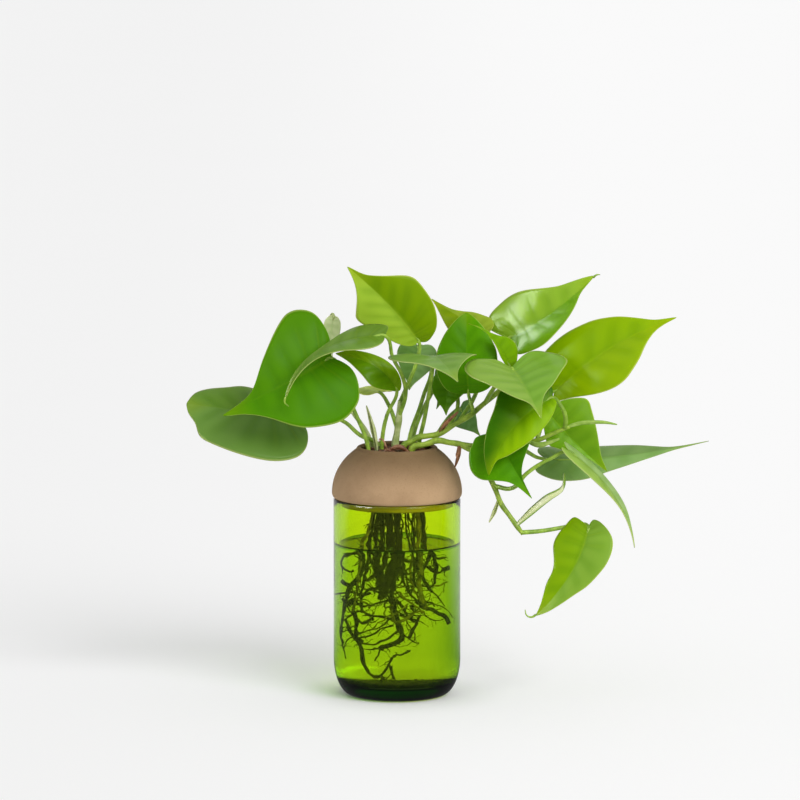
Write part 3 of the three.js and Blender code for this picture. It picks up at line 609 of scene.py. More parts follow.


# leaves: the stalk, then the midrib's base, middle and tip, the way the upper face looks, the width of
# each half, how far each half is raised in degrees, each half's colour, which is partly the leaf's own
# green and partly painted light, shade and sheen, and its edge if it is not the usual heart: along the
# midrib and across, in percent, from the notch round the lobe to the tip

leafSettings = {"along": 36, "across": 6, "swell": 0.07, "thick": 0.5, "ripple": 0.5, "quilt": 0.11,
                "veins": 8, "seed": 5, "depth": 10, "stalk": (1.4, 1.0), "sunk": 0.45, "drip": (0.75, 0.25),
                "onRib": [(0, 1.0), (0.08, 0.75), (0.2, 0.5), (0.4, 0.25)]}
heartEdge = [(-6, 30), (-7, 60), (3, 90), (20, 100), (40, 86), (62, 52), (80, 20), (91, 7)]
leafShapes = {
    "leaf_far_left": {"planted": True, "coloursAndLight": ((118, 160, 68), (112, 156, 46)), "gloss": 0.3,
        "stalk": [(-11, 4, 3), (-22, 5, 9), (-32, 7, 17), (-46, 8, 20)],
        "midrib": [(-61.5, 8, 19), (-93, 4, 23.5), (-124.5, 12, 26.5)],
        "face": (-0.1, -0.75, 0.65), "halves": (32, 26.5), "raised": (0, -25),
        "edges": ([(-10, 20), (-11.5, 45), (-8, 73), (2, 92), (20, 100), (47, 92), (73, 76), (79, 66),
                   (85, 42), (94, 22)],
                  [(-10, 35), (-6, 65), (10, 90), (35, 98), (54, 100), (72, 80), (88, 65), (98, 42)])},
    "leaf_front_left": {"planted": True, "coloursAndLight": ((82, 146, 0), (84, 144, 0)), "gloss": 0.06,
        "stalk": [(-17, -6, 3), (-25, -8, 25), (-33, -12, 44)],
        "midrib": [(-38.5, -18, 58), (-70.5, -29, 41.5), (-103, -36, 26)],
        "face": (-0.05, -0.97, 0.24), "halves": (35.5, 35.5),
        "edges": ([(-5, 14), (-8.5, 34), (-7, 58), (-1, 83), (8, 95), (20, 100), (40, 87), (52, 71), (68, 36),
                   (82, 15), (92, 7)],
                  [(-7, 32), (-8, 69), (-4, 88), (5, 100), (14, 100), (30, 82), (50, 50), (68, 15),
                   (82, 5)])},
    "leaf_curled_left": {"coloursAndLight": ((118, 160, 52), (114, 150, 54)), "gloss": 0.5,
        "stalk": [(1, 2, 20), (5, -2.5, 34), (3.5, -9.5, 45), (-2.5, -16.5, 58)],
        "midrib": [(-7, -22, 71.5), (-46.5, -37, 63), (-65.5, -42, 35.5)],
        "drip": [(-65, -41.9, 38), (-65.4, -42, 35), (-63, -42, 32.6)],
        "face": (-0.15, -0.4, 0.9), "halves": (16, 16),
        "edges": ([(2, 30), (5, 60), (10, 84), (18, 95), (28, 82), (38, 58), (50, 36), (64, 22), (80, 13),
                   (92, 6)],
                  [(-6, 50), (-3, 82), (4, 100), (13, 86), (23, 56), (34, 30), (46, 15), (62, 11), (80, 9),
                   (92, 5)])},
    # painted light: pale, and lightened further against the shade it lies in behind the other leaves
    "leaf_back_left": {"planted": True, "coloursAndLight": ((248, 255, 206), (248, 255, 206)), "gloss": 0.5,
        "stalk": [(-15, 8, 3), (-30, 14, 28), (-40, 26, 58), (-39.5, 22, 75.5)],
        "midrib": [(-37.5, 16, 78.5), (-39.5, 20, 63.5), (-41, 22, 50)],
        "face": (0.1, -0.9, 0.3), "halves": (5.2, 5.2),
        "edges": ([(0, 30), (3, 60), (12, 90), (30, 100), (60, 80), (85, 35)],) * 2},
    "leaf_young_left": {"planted": True, "coloursAndLight": ((110, 160, 0), (128, 170, 4)), "gloss": 0.2,
        "stalk": [(-9, -3, 4), (-6, -6, 22)],
        "midrib": [(0, -5, 36.5), (-12, -8, 51), (-36.5, -6, 59)],
        "face": (0.1, -0.85, 0.5), "halves": (11.5, 7),
        "edges": ([(5, 25), (16, 60), (32, 93), (48, 100), (70, 64), (87, 26)],
                  [(0, 30), (10, 65), (30, 95), (50, 100), (75, 75), (90, 40)])},
    # painted light: lightened against the shadow it lies in
    "leaf_flat_left": {"coloursAndLight": ((212, 230, 104), (212, 230, 104)),
        "stalk": [(0, 2, 14), (-5, 5, 27)],
        "midrib": [(-10, 7, 34), (-17, 16, 35), (-25, 26, 33)],
        "face": (0, -0.1, 1), "halves": (12, 12)},
    # painted sheen: the first half is lighter where it catches the light
    "leaf_top": {"coloursAndLight": ((166, 200, 56), (128, 164, 0)), "gloss": 0.1,
        "stalk": [(2, 2, 29), (8, 4, 43), (12, 5, 54)],
        "midrib": [(13, 5, 64.5), (-5, -2, 87.5), (-30, -5, 111)],
        "face": (-0.15, -0.95, 0.2), "halves": (19.5, 20.5),
        "edges": ([(0, 12), (3, 33), (17, 62), (42, 88), (60, 101), (66, 88), (76, 50), (84, 27), (93, 10)],
                  [(-3.5, 17), (-2, 36), (4, 65), (14, 87), (26, 101), (40, 106), (49, 108), (55, 101),
                   (61, 85), (68, 61), (76, 35), (85, 13)])},
    "leaf_back_centre": {"planted": True, "coloursAndLight": ((160, 200, 124), (128, 172, 88)), "gloss": 0.4,
        "stalk": [(7, 8, 4), (15, 20, 28), (20, 29, 50)],
        "midrib": [(13, 25, 59), (10, 21, 46), (7, 19, 33)],
        "face": (0, -0.9, 0.4), "halves": (12, 12)},
    "leaf_back_top": {"coloursAndLight": ((130, 158, 4), (158, 182, 50)), "gloss": 0.2,
        "stalk": [(36, -4.8, 17.5), (46, 8, 32), (52, 18, 50)],
        "midrib": [(54, 16, 68), (37, 22, 77), (20, 24, 88)],
        "face": (0.2, -0.85, 0.5), "halves": (13.5, 9.5),
        "edges": ([(0, 50), (15, 90), (33, 100), (52, 84), (74, 46), (90, 15)],
                  [(0, 60), (10, 100), (20, 93), (36, 74), (51, 42), (66, 16), (84, 6)])},
    "leaf_centre": {"coloursAndLight": ((84, 146, 0), (94, 162, 0)), "gloss": 0.08,
        "stalk": [(45, -3.6, 23.5), (44, -7, 28)],
        "midrib": [(42, -2.5, 35), (41, -1.5, 59), (41, 7, 81.5)],
        "face": (0, -0.98, 0.15), "halves": (18, 18),
        "edges": ([(0, 35), (5.6, 70), (16.7, 91), (29, 100), (50, 98), (60, 89), (73.6, 70), (86.1, 44),
                   (95.8, 18)],) * 2},
    "leaf_level": {"planted": True, "coloursAndLight": ((130, 168, 74), (134, 174, 78)), "gloss": 0.5,
        "stalk": [(13, 4, 4), (16, 3, 18), (19, -2, 36), (21, -11, 51)],
        "midrib": [(21, -18, 58.5), (26, -36, 58), (36, -50, 47.5)],
        "face": (0.01, -0.1, 1), "halves": (25, 28)},
    # painted sheen: the first half's colour is lightened by the sheen near its base lobe
    "leaf_upper_right": {"coloursAndLight": ((156, 198, 48), (118, 172, 0)), "gloss": 1,
        "stalk": [(67, 1.8, 41), (68, 10, 54)],
        "midrib": [(66, 15, 65), (91.5, 7, 81.5), (117, 9, 103.5)],
        "drip": [(115.5, 8.9, 102), (117.5, 9, 103.6), (119.6, 9, 103.8)],
        "face": (-0.12, -0.9, 0.42), "halves": (23.5, 13.7),
        "edges": ([(-16, 45), (-14, 66), (-7, 84), (5, 96), (17, 100), (29, 97), (42, 85), (57, 63), (69, 44),
                   (82, 29), (93, 14)],
                  [(-3, 45), (5, 86), (15, 95), (28, 100), (41, 88), (53, 74), (64, 55), (72, 36), (81, 12),
                   (90, 4)])},
    "leaf_right": {"coloursAndLight": ((150, 190, 0), (158, 194, 0)), "gloss": 0.3,
        "stalk": [(62, 0.8, 37.2), (78, 3, 36)],
        "midrib": [(93, 4, 35), (127, -2, 62.5), (166, 0, 80)],
        "face": (-0.1, -0.85, 0.5), "halves": (24, 22.5),
        "edges": ([(-5, 50), (2, 80), (8, 93), (16, 99), (27, 100), (37, 94), (46, 87), (54, 75), (62, 61),
                   (69, 45), (76, 29), (83, 14), (90, 7)],
                  [(-4, 20), (7, 48), (19, 77), (28, 92), (37, 100), (46, 98), (55, 84), (63, 67), (70, 45),
                   (75, 30), (81, 16), (88, 7)])},
    # painted sheen: the second half is lighter
    "leaf_front_right": {"coloursAndLight": ((134, 182, 60), (152, 190, 76)), "gloss": 0.5, "heart": 1,
        "stalk": [(52, -1.6, 29.2), (56, -12, 38), (62, -20, 47)],
        "midrib": [(67, -23, 52.5), (76, -46, 41), (84, -64, 28)],
        "face": (0.12, -0.45, 0.88), "halves": (36.5, 28.5),
        "edges": ([(-15, 22), (-23, 40), (-25, 55), (-23, 73), (-21, 88), (-16, 97), (-7, 100), (4, 92),
                   (16, 79), (42, 49), (57, 27), (69, 16), (83, 8)],
                  [(-17, 20), (-20, 38), (-22, 65), (-19, 82), (-9, 98), (2, 100), (13, 93), (27, 75),
                   (50, 50), (61, 32), (68, 11), (78, 5)])},
    "leaf_folded": {"coloursAndLight": ((128, 178, 6), (128, 178, 6)), "gloss": 0.15,
        "stalk": [(58, 0, 34), (65, 0, 42)],
        "midrib": [(66.5, -4, 50), (55, -10, 69.5), (40.5, -12, 77.5)],
        "face": (0.3, -0.8, 0.4), "halves": (2.5, 10.5),
        "edges": ([(0, 35), (8, 80), (18, 100), (30, 80), (42, 40), (55, 15), (75, 5)],) * 2},
    # painted light and shade: one half lit lime, the other dark
    "leaf_lower_front": {"coloursAndLight": ((150, 196, 0), (58, 114, 0)), "gloss": 0.1, "soft": 0.42,
        "stalk": [(98.5, -25.9, 17.6), (98.5, -29.5, 25), (95.5, -31, 32)],
        "midrib": [(91, -29, 36), (66, -42, 17.5), (53.5, -42, -9)],
        "face": (0, -0.9, 0.4), "halves": (13, 22),
        "edges": ([(0, 30), (8, 66), (17, 87), (27, 98), (36, 100), (47, 96), (58, 82), (70, 57), (77, 32),
                   (82, 13), (92, 6)],
                  [(-5, 30), (2, 70), (15, 97), (28, 100), (43, 73), (53, 62), (66, 48), (79, 32),
                   (90, 15)])},
    "leaf_lower_right": {"coloursAndLight": ((122, 172, 24), (130, 186, 22)), "gloss": 0.2,
        "stalk": [(82, -24, 10), (85, -17, 18)],
        "midrib": [(88.5, -14, 25), (105.5, -15, 6.5), (124, -18, -10)],
        "face": (0.1, -0.97, 0.2), "halves": (23, 12.5),
        "edges": ([(-2, 35), (7, 75), (20, 100), (32, 90), (43, 78), (53, 65), (63, 50), (72, 35), (82, 19),
                   (93, 7)],
                  [(0, 30), (12.5, 68), (27, 100), (38, 80), (48, 58), (61, 28), (73, 12), (85, 5)])},
    "leaf_long": {"coloursAndLight": ((132, 166, 94), (142, 182, 102)), "gloss": 0.4,
        "stalk": [(70, -20, 8), (78, -8, 0)],
        "midrib": [(88, 8, -6), (136, 10, -4), (187, 18, 4)],
        "face": (0, -0.3, 0.95), "halves": (17.5, 13.7), "raised": (0, -50),
        "edges": ([(-5, 40), (-3, 75), (5, 100), (20, 97), (35, 88), (52, 60), (67, 28), (77, 8), (88, 3)],
                  [(-6, 40), (-4, 70), (4, 93), (13, 100), (25, 93), (39, 65), (54, 42), (68, 22), (78, 8),
                   (88, 3)])},
    "leaf_bottom_front": {"coloursAndLight": ((70, 134, 0), (88, 158, 0)), "gloss": 0.1,
        "stalk": [(47.5, -15.9, -1.5), (50, -22, 6)],
        "midrib": [(56, -27, 15), (68, -35, -4), (79.5, -36, -23.5)],
        "face": (-0.1, -0.95, 0.25), "halves": (17.5, 22.5),
        "edges": ([(0, 60), (12, 93), (23, 100), (33, 93), (42, 66), (50, 40), (59, 19), (68, 7), (82, 3)],
                  [(-5, 42), (1, 61), (6, 78), (16, 92), (26, 100), (36, 97), (44, 87), (50, 70), (59, 43),
                   (65, 29), (73, 19), (85, 9)])},
    "leaf_narrow": {"coloursAndLight": ((168, 200, 122), (160, 194, 84)), "gloss": 0.4,
        "stalk": [(57, -18, -18), (68, -25, -18), (76, -28, -9), (90, -29, 0)],
        "midrib": [(101, -29, 4), (127.5, -30, -22.5), (139.5, -30, -54)],
        "face": (0.78, -0.25, 0.55), "halves": (10, 10)},
    "leaf_hanging": {"coloursAndLight": ((142, 184, 60), (138, 180, 4)), "gloss": 0.25,
        "stalk": [(73, -22, -45), (84, -20, -44.5), (98, -15, -43), (108, -15, -41)],
        "midrib": [(112.5, -20, -42), (102, -30, -68), (81, -30, -93.5)],
        "drip": [(81.6, -30, -92.6), (79, -30, -94), (76.2, -30, -93), (75.2, -30, -89.6)],
        "face": (-0.2, -0.9, 0.3), "halves": (17.5, 17.5),
        "edges": ([(-7, 10), (-6, 33), (0, 63), (7.5, 88), (16, 98), (28, 97), (40, 86), (53, 72), (64, 53),
                   (78, 35), (90, 20)],
                  [(-5.5, 30), (-7.5, 55), (0, 76), (13, 95), (27, 100), (38, 88), (48, 70), (58, 56),
                   (71, 49), (80, 34), (91, 13)])},
    "leaf_shaded": {"coloursAndLight": ((116, 160, 90), (116, 160, 90)), "gloss": 0.4,
        "stalk": [(24, -6, 11), (28, 4, 16), (33, 12, 21)],
        "midrib": [(37, 16, 23), (42, 21, 15), (50, 23, 5)],
        "face": (0, -0.85, 0.5), "halves": (9, 9)},
    "leaf_back_right": {"planted": True, "coloursAndLight": ((112, 158, 78), (112, 158, 78)), "gloss": 0.4,
        "stalk": [(9, 13, 4), (20, 26, 30), (30, 29, 44)],
        "midrib": [(33, 24, 48), (29, 22, 35), (23, 18, 22)],
        "face": (-0.3, -0.85, 0.4), "halves": (10, 10)},
    "leaf_low_centre": {"coloursAndLight": ((92, 148, 12), (92, 148, 12)),
        "stalk": [(30, -5.5, 14), (36, 4, 28)],
        "midrib": [(31, 8, 42.5), (29, 6, 32), (29, 2, 20.5)],
        "face": (-0.2, -0.9, 0.4), "halves": (12, 10)},
}
upperFace = {"valleyShade": 0.55, "midribShade": 0.5, "baseVein": 0.2, "vein": 0.03, "midrib": 0.22, "veinRise": -0.3,
             "midribRise": -1, "rough": 0.4}
underFace = {"valleyShade": 0.1, "midribShade": 0, "baseVein": 0.06, "vein": 0.12, "midrib": 0.4, "veinRise": 0.5,
             "midribRise": 1, "rough": 0.5}
underColours = {"lime": (150, 184, 62), "green": (106, 150, 44), "grey": (138, 164, 112)}


def bladeFinish(name, first, second, face, gloss=0.15, soft=0.05, heart=0.5):
    f = newFinish(name)
    onLeaf = f.split(f.coords("UV"))
    coords = f.coords()
    along = onLeaf.outlet("Y")
    across = abs(onLeaf * 2 - 1)
    midrib = 1 - across.over(0.008, 0.05)
    comb = abs((along * leafSettings["veins"]) % 1 - 0.5)
    vein = (1 - comb.over(0.02, 0.16)) * (1 - across.over(0.5, 0.95))
    # painted shade in the valleys about the veins
    valleyShade = (1 - comb.over(0.04, 0.42)) * (1 - across.over(0.55, 1)) * across.over(0, 0.1)
    # painted shade along the midrib
    midribShade = (1 - across.over(0.01, 0.2)) * (1 - along.over(0.5, 0.95))
    middle = (1 - along.over(0, 0.3)) * (1 - across.over(0.1, 0.9))
    margin = across.over(0.962, 0.986)
    cloud = f.grain(coords, 42, 3)
    tissue = f.grain(coords, 1300, 2, 0.6)

    mean = [(a + b) / 2 for a, b in zip(first, second)]
    pale = tone(*[min(255, c * 0.7 + more) for c, more in zip(mean, (70, 68, 12))])
    rim = tone(*[min(255, c * 0.55 + more) for c, more in zip(mean, (118, 114, 80))])
    shade = f.blend(onLeaf.over(0.5 - soft, 0.5 + soft), tone(*second), tone(*first))
    shade = f.deepen(cloud.over(0.35, 0.75) * 0.35, shade, (0.72, 0.8, 0.55))
    shade = f.deepen(middle * heart, shade, (0.62, 0.74, 0.5))
    shade = f.deepen(valleyShade * face["valleyShade"], shade, (0.66, 0.77, 0.58))
    shade = f.deepen(midribShade * face["midribShade"], shade, (0.6, 0.74, 0.5))
    veined = vein * ((1 - along.over(0.2, 0.6)) * face["baseVein"] + face["vein"])
    shade = f.blend(veined + tissue.over(0.4, 0.8) * 0.06, shade, pale)
    shade = f.blend(midrib * face["midrib"] * (1 - along.over(0.35, 0.95)), shade, pale)
    shade = f.blend(along.over(0.84, 0.97) * 0.5, shade, pale)
    shade = f.blend(margin * 0.85, shade, rim)

    rise = f.bump(tissue * 0.2 + vein * face["veinRise"] + midrib * face["midribRise"], 0.2, 0.0006)
    shine = (cloud.over(0.3, 0.7) * 0.7 + 0.3) * (1 - vein * 0.5) * gloss
    skin = f.body(shade, face["rough"] + tissue * 0.08,
                  {"Specular IOR Level": 0.05, "Coat Weight": shine, "Coat Roughness": 0.22, "Normal": rise})
    glow = f.node("BsdfTranslucent", None, {"Color": tone(*mean), "Normal": rise})
    return f.done(f.mixed(0.22, skin, glow))


underFinishes = {key: bladeFinish(key + "Under", colour, colour, underFace)
                 for key, colour in underColours.items()}


def leafEdge(points):  # half the edge as even steps: along the midrib and across, as shares
    knots = [Vector([share / 100 for share in point]) for point in [(0, 0)] + points + [(100, 0)]]
    steps = 16 * (len(knots) - 1)
    fine = [smoothAt(knots, k / steps) for k in range(steps + 1)]
    lengths = [0]
    for p, q in zip(fine, fine[1:]):
        lengths.append(lengths[-1] + (q - p).length)

    def at(share):
        goal = share * lengths[-1]
        for k in range(1, len(lengths)):
            if lengths[k] >= goal and lengths[k] > lengths[k - 1]:
                return fine[k - 1].lerp(fine[k], (goal - lengths[k - 1]) / (lengths[k] - lengths[k - 1]))
        return fine[-1]
    return at


def makeBlade(node, shape, rng):
    s = leafSettings
    base, middle, tip = (fromCrown(point) for point in shape["midrib"])
    bend = middle * 2 - base * 0.5 - tip * 0.5
    upper = Vector(shape["face"]).normalized()
    halves = [width * mm for width in shape["halves"]]
    raised = [math.radians(angle) for angle in shape.get("raised", (0, 0))]
    edges = [leafEdge(points) for points in shape.get("edges", (heartEdge, heartEdge))]
    waves, phases = rng.uniform(1.6, 2.6), (rng.uniform(0, 6), rng.uniform(0, 6))

    def ribAt(t):
        return base * (1 - t) ** 2 + bend * (2 * t * (1 - t)) + tip * t * t

    length = sum((ribAt((k + 1) / 60) - ribAt(k / 60)).length for k in range(60))

    bpy.ops.mesh.primitive_grid_add(x_subdivisions=2 * s["across"], y_subdivisions=s["along"], size=2,
                                    calc_uvs=True)
    piece = bpy.context.object
    for vertex in piece.data.vertices:
        reach = abs(vertex.co.x)
        half = 0 if vertex.co.x > 0 else 1
        share = (vertex.co.y + 1) / 2
        edgeAlong, edgeAcross = edges[half](share)
        along = share ** 2 + (edgeAlong - share ** 2) * reach
        across = edgeAcross * reach
        held = min(max(along, 0), 1)
        ahead = ((bend - base) * (1 - held) + (tip - bend) * held).normalized()
        normal = (upper - ahead * upper.dot(ahead)).normalized()
        side = normal.cross(ahead) * (1 if half == 0 else -1)
        swell = s["swell"] * halves[half] * math.sin(math.pi * min(across, 1))
        wave = math.sin(waves * math.tau * share + phases[half])
        ripple = s["ripple"] * mm * reach ** 3 * wave * (1 - share ** 3)
        quilt = s["quilt"] * mm * math.cos(math.tau * s["veins"] * share) * math.sin(math.pi * reach)
        lift = across * halves[half] * math.sin(raised[half])
        height = lift + swell + (ripple + quilt) * min(1, edgeAcross * 2)
        place = ribAt(held) + ahead * (along - held) * length
        vertex.co = place + side * across * halves[half] * math.cos(raised[half]) + normal * height
    cleanMesh(piece, 5e-6)
    facing = sum((polygon.normal * polygon.area for polygon in piece.data.polygons), Vector())
    if facing.dot(upper) < 0:
        editMesh(piece, flip_normals={})
    first, second = shape["coloursAndLight"]
    under = "lime" if first[0] > 125 else "grey" if first[2] > 40 else "green"
    looks = {key: shape[key] for key in ("gloss", "soft", "heart") if key in shape}
    piece.data.materials.append(bladeFinish(joinedName(node) + "Green", first, second, upperFace, **looks))
    piece.data.materials.append(underFinishes[under])
    useModifier(piece, "SUBSURF", levels=1, render_levels=1)
    useModifier(piece, "SOLIDIFY", thickness=s["thick"] * mm, offset=0, material_offset=1)
    smoothShade(piece)
    return piece, ribAt


def makeLeaves():
    s = leafSettings
    rng = random.Random(s["seed"])

    def thinning(path, first, last, spans):
        return [(place, first + (last - first) * k / spans) for k, place in enumerate(path)]

    for node, shape in leafShapes.items():
        blade, ribAt = makeBlade(node, shape, rng)
        path = plantedPath(shape, "stalk", s["depth"])
        sunk = Vector(shape["face"]).normalized() * (s["sunk"] * mm)  # the stalk runs on under the blade
        route = thinning(path, *s["stalk"], len(path))
        route += [(ribAt(t) - sunk if t else ribAt(t), radius) for t, radius in s["onRib"]]
        finish = paleStemFinish if node == "leaf_back_left" else leafStalkFinish
        parts = [blade, drawnTubes("stalk", [route], 3, 6, finish)]
        if "drip" in shape:  # the thread that the tip ends in
            path = [fromCrown(point) for point in shape["drip"]]
            route = thinning(path, *s["drip"], len(path) - 1)
            parts.append(drawnTubes("drip", [route], 2, 6, leafStalkFinish))
        settlePlant(joined(*parts), node)


makeLeaves()
print("leaves made")


# rolled new leaves and sheaths: a thin sheet rolled round its path

sheathSettings = {"depth": 8, "across": 16, "along": 20, "thick": 0.22, "inner": 0.72, "opening": 0.26,
                  "twist": 0.8, "start": 2.2, "sideways": (0.31, 0.22, 0.92), "ribs": 14,
                  "spine": (128, 164, 48)}
sheathShapes = {
    "new_leaf_right": {"finish": "fresh", "turns": 1.6, "radii": (1.1, 1.5, 1.3, 0.4),
        "path": [(100, -25.9, 18.2), (108, -26, 20.5), (120, -26, 21), (129, -25, 19.5)]},
    "new_leaf_hanging": {"finish": "rolled", "turns": 1.5, "radii": (1.1, 2.4, 2.6, 1.6, 0.4),
        "path": [(70, -21.8, -41), (79, -25, -32), (88, -27, -24), (97, -27, -18), (98, -27, -9)]},
    "sheath_side": {"finish": "fresh", "turns": 0.85, "radii": (1.1, 2.0, 0.6),
        "path": [(77, -22.4, 9), (84, -28, 8), (95, -31, 12)]},
    "sheath_thorn": {"finish": "dry", "turns": 0.8, "radii": (1.2, 1.8, 0.4),
        "path": [(37, -13, 6), (36, -16, 0), (34, -17, -7)]},
    "sheath_brown": {"finish": "dry", "turns": 0.8, "radii": (1.2, 1.7, 0.5),
        "path": [(25, -6, 11.4), (29, -9, 18), (36, -10, 25)]},
    "sheath_hanging": {"finish": "pale", "turns": 0.85, "radii": (1.0, 1.5, 0.4),
        "path": [(60, -19.4, -25), (57, -21, -33), (54, -22, -39)]},
    "sheath_pale": {"finish": "pale", "turns": 0.9, "radii": (1.2, 2.0, 0.4), "planted": True,
        "path": [(-12, -6, 3), (-14, -5, 14), (-18, -5, 28)]},
}
sheathColours = {"fresh": ((128, 168, 46), (168, 196, 92)), "pale": ((176, 190, 110), (214, 220, 164)),
                 "rolled": ((206, 216, 150), (232, 236, 200)), "dry": ((96, 56, 30), (160, 108, 66))}


def sheathFinish(kind, dark, light):
    f = newFinish(kind + "Sheath")
    onSheath = f.split(f.coords("UV"))
    ribs = abs((onSheath * sheathSettings["ribs"]) % 1 - 0.5)
    blot = f.grain(f.coords(), 180, 4, 0.65)
    colour = f.blend(blot.over(0.32, 0.68), tone(*dark), tone(*light))
    colour = f.blend(ribs.over(0.3, 0.5) * 0.3, colour, tone(*[c * 0.72 for c in dark]))
    if kind == "rolled":  # green along its spine, and nearly clear beside it
        colour = f.blend(onSheath.over(0.5, 0.58), colour, tone(*sheathSettings["spine"]))
    return f.opaque(colour, 0.5 + blot * 0.2, f.bump(ribs + blot * 0.4, 0.3, 0.0003))


sheathFinishes = {kind: sheathFinish(kind, *pair) for kind, pair in sheathColours.items()}


def makeSheaths():
    s = sheathSettings
    for node, shape in sheathShapes.items():
        path = plantedPath(shape, "path", s["depth"])
        radii = [shape["radii"][0]] * (len(path) - len(shape["radii"])) + list(shape["radii"])
        spans = len(radii) - 1
        bpy.ops.mesh.primitive_grid_add(x_subdivisions=s["across"], y_subdivisions=s["along"], size=1,
                                        calc_uvs=True)
        piece = bpy.context.object
        for vertex in piece.data.vertices:
            share = vertex.co.y + 0.5
            roll = vertex.co.x + 0.5
            here = smoothAt(path, share)
            ahead = (smoothAt(path, min(share + 0.02, 1)) - smoothAt(path, max(share - 0.02, 0))).normalized()
            first = ahead.cross(Vector(s["sideways"])).normalized()
            second = ahead.cross(first)
            at = min(int(share * spans), spans - 1)
            radius = radii[at] + (radii[at + 1] - radii[at]) * (share * spans - at)
            radius *= s["inner"] + s["opening"] * roll
            turn = math.tau * shape["turns"] * roll + share * s["twist"] + s["start"]
            vertex.co = here + (first * math.cos(turn) + second * math.sin(turn)) * radius * mm
        cleanMesh(piece, 1e-7)
        piece.data.materials.append(sheathFinishes[shape["finish"]])
        useModifier(piece, "SOLIDIFY", thickness=s["thick"] * mm, offset=-1)
        useModifier(piece, "SUBSURF", levels=1, render_levels=1)
        smoothShade(piece)
        settlePlant(piece, node)


makeSheaths()
print("sheaths made")
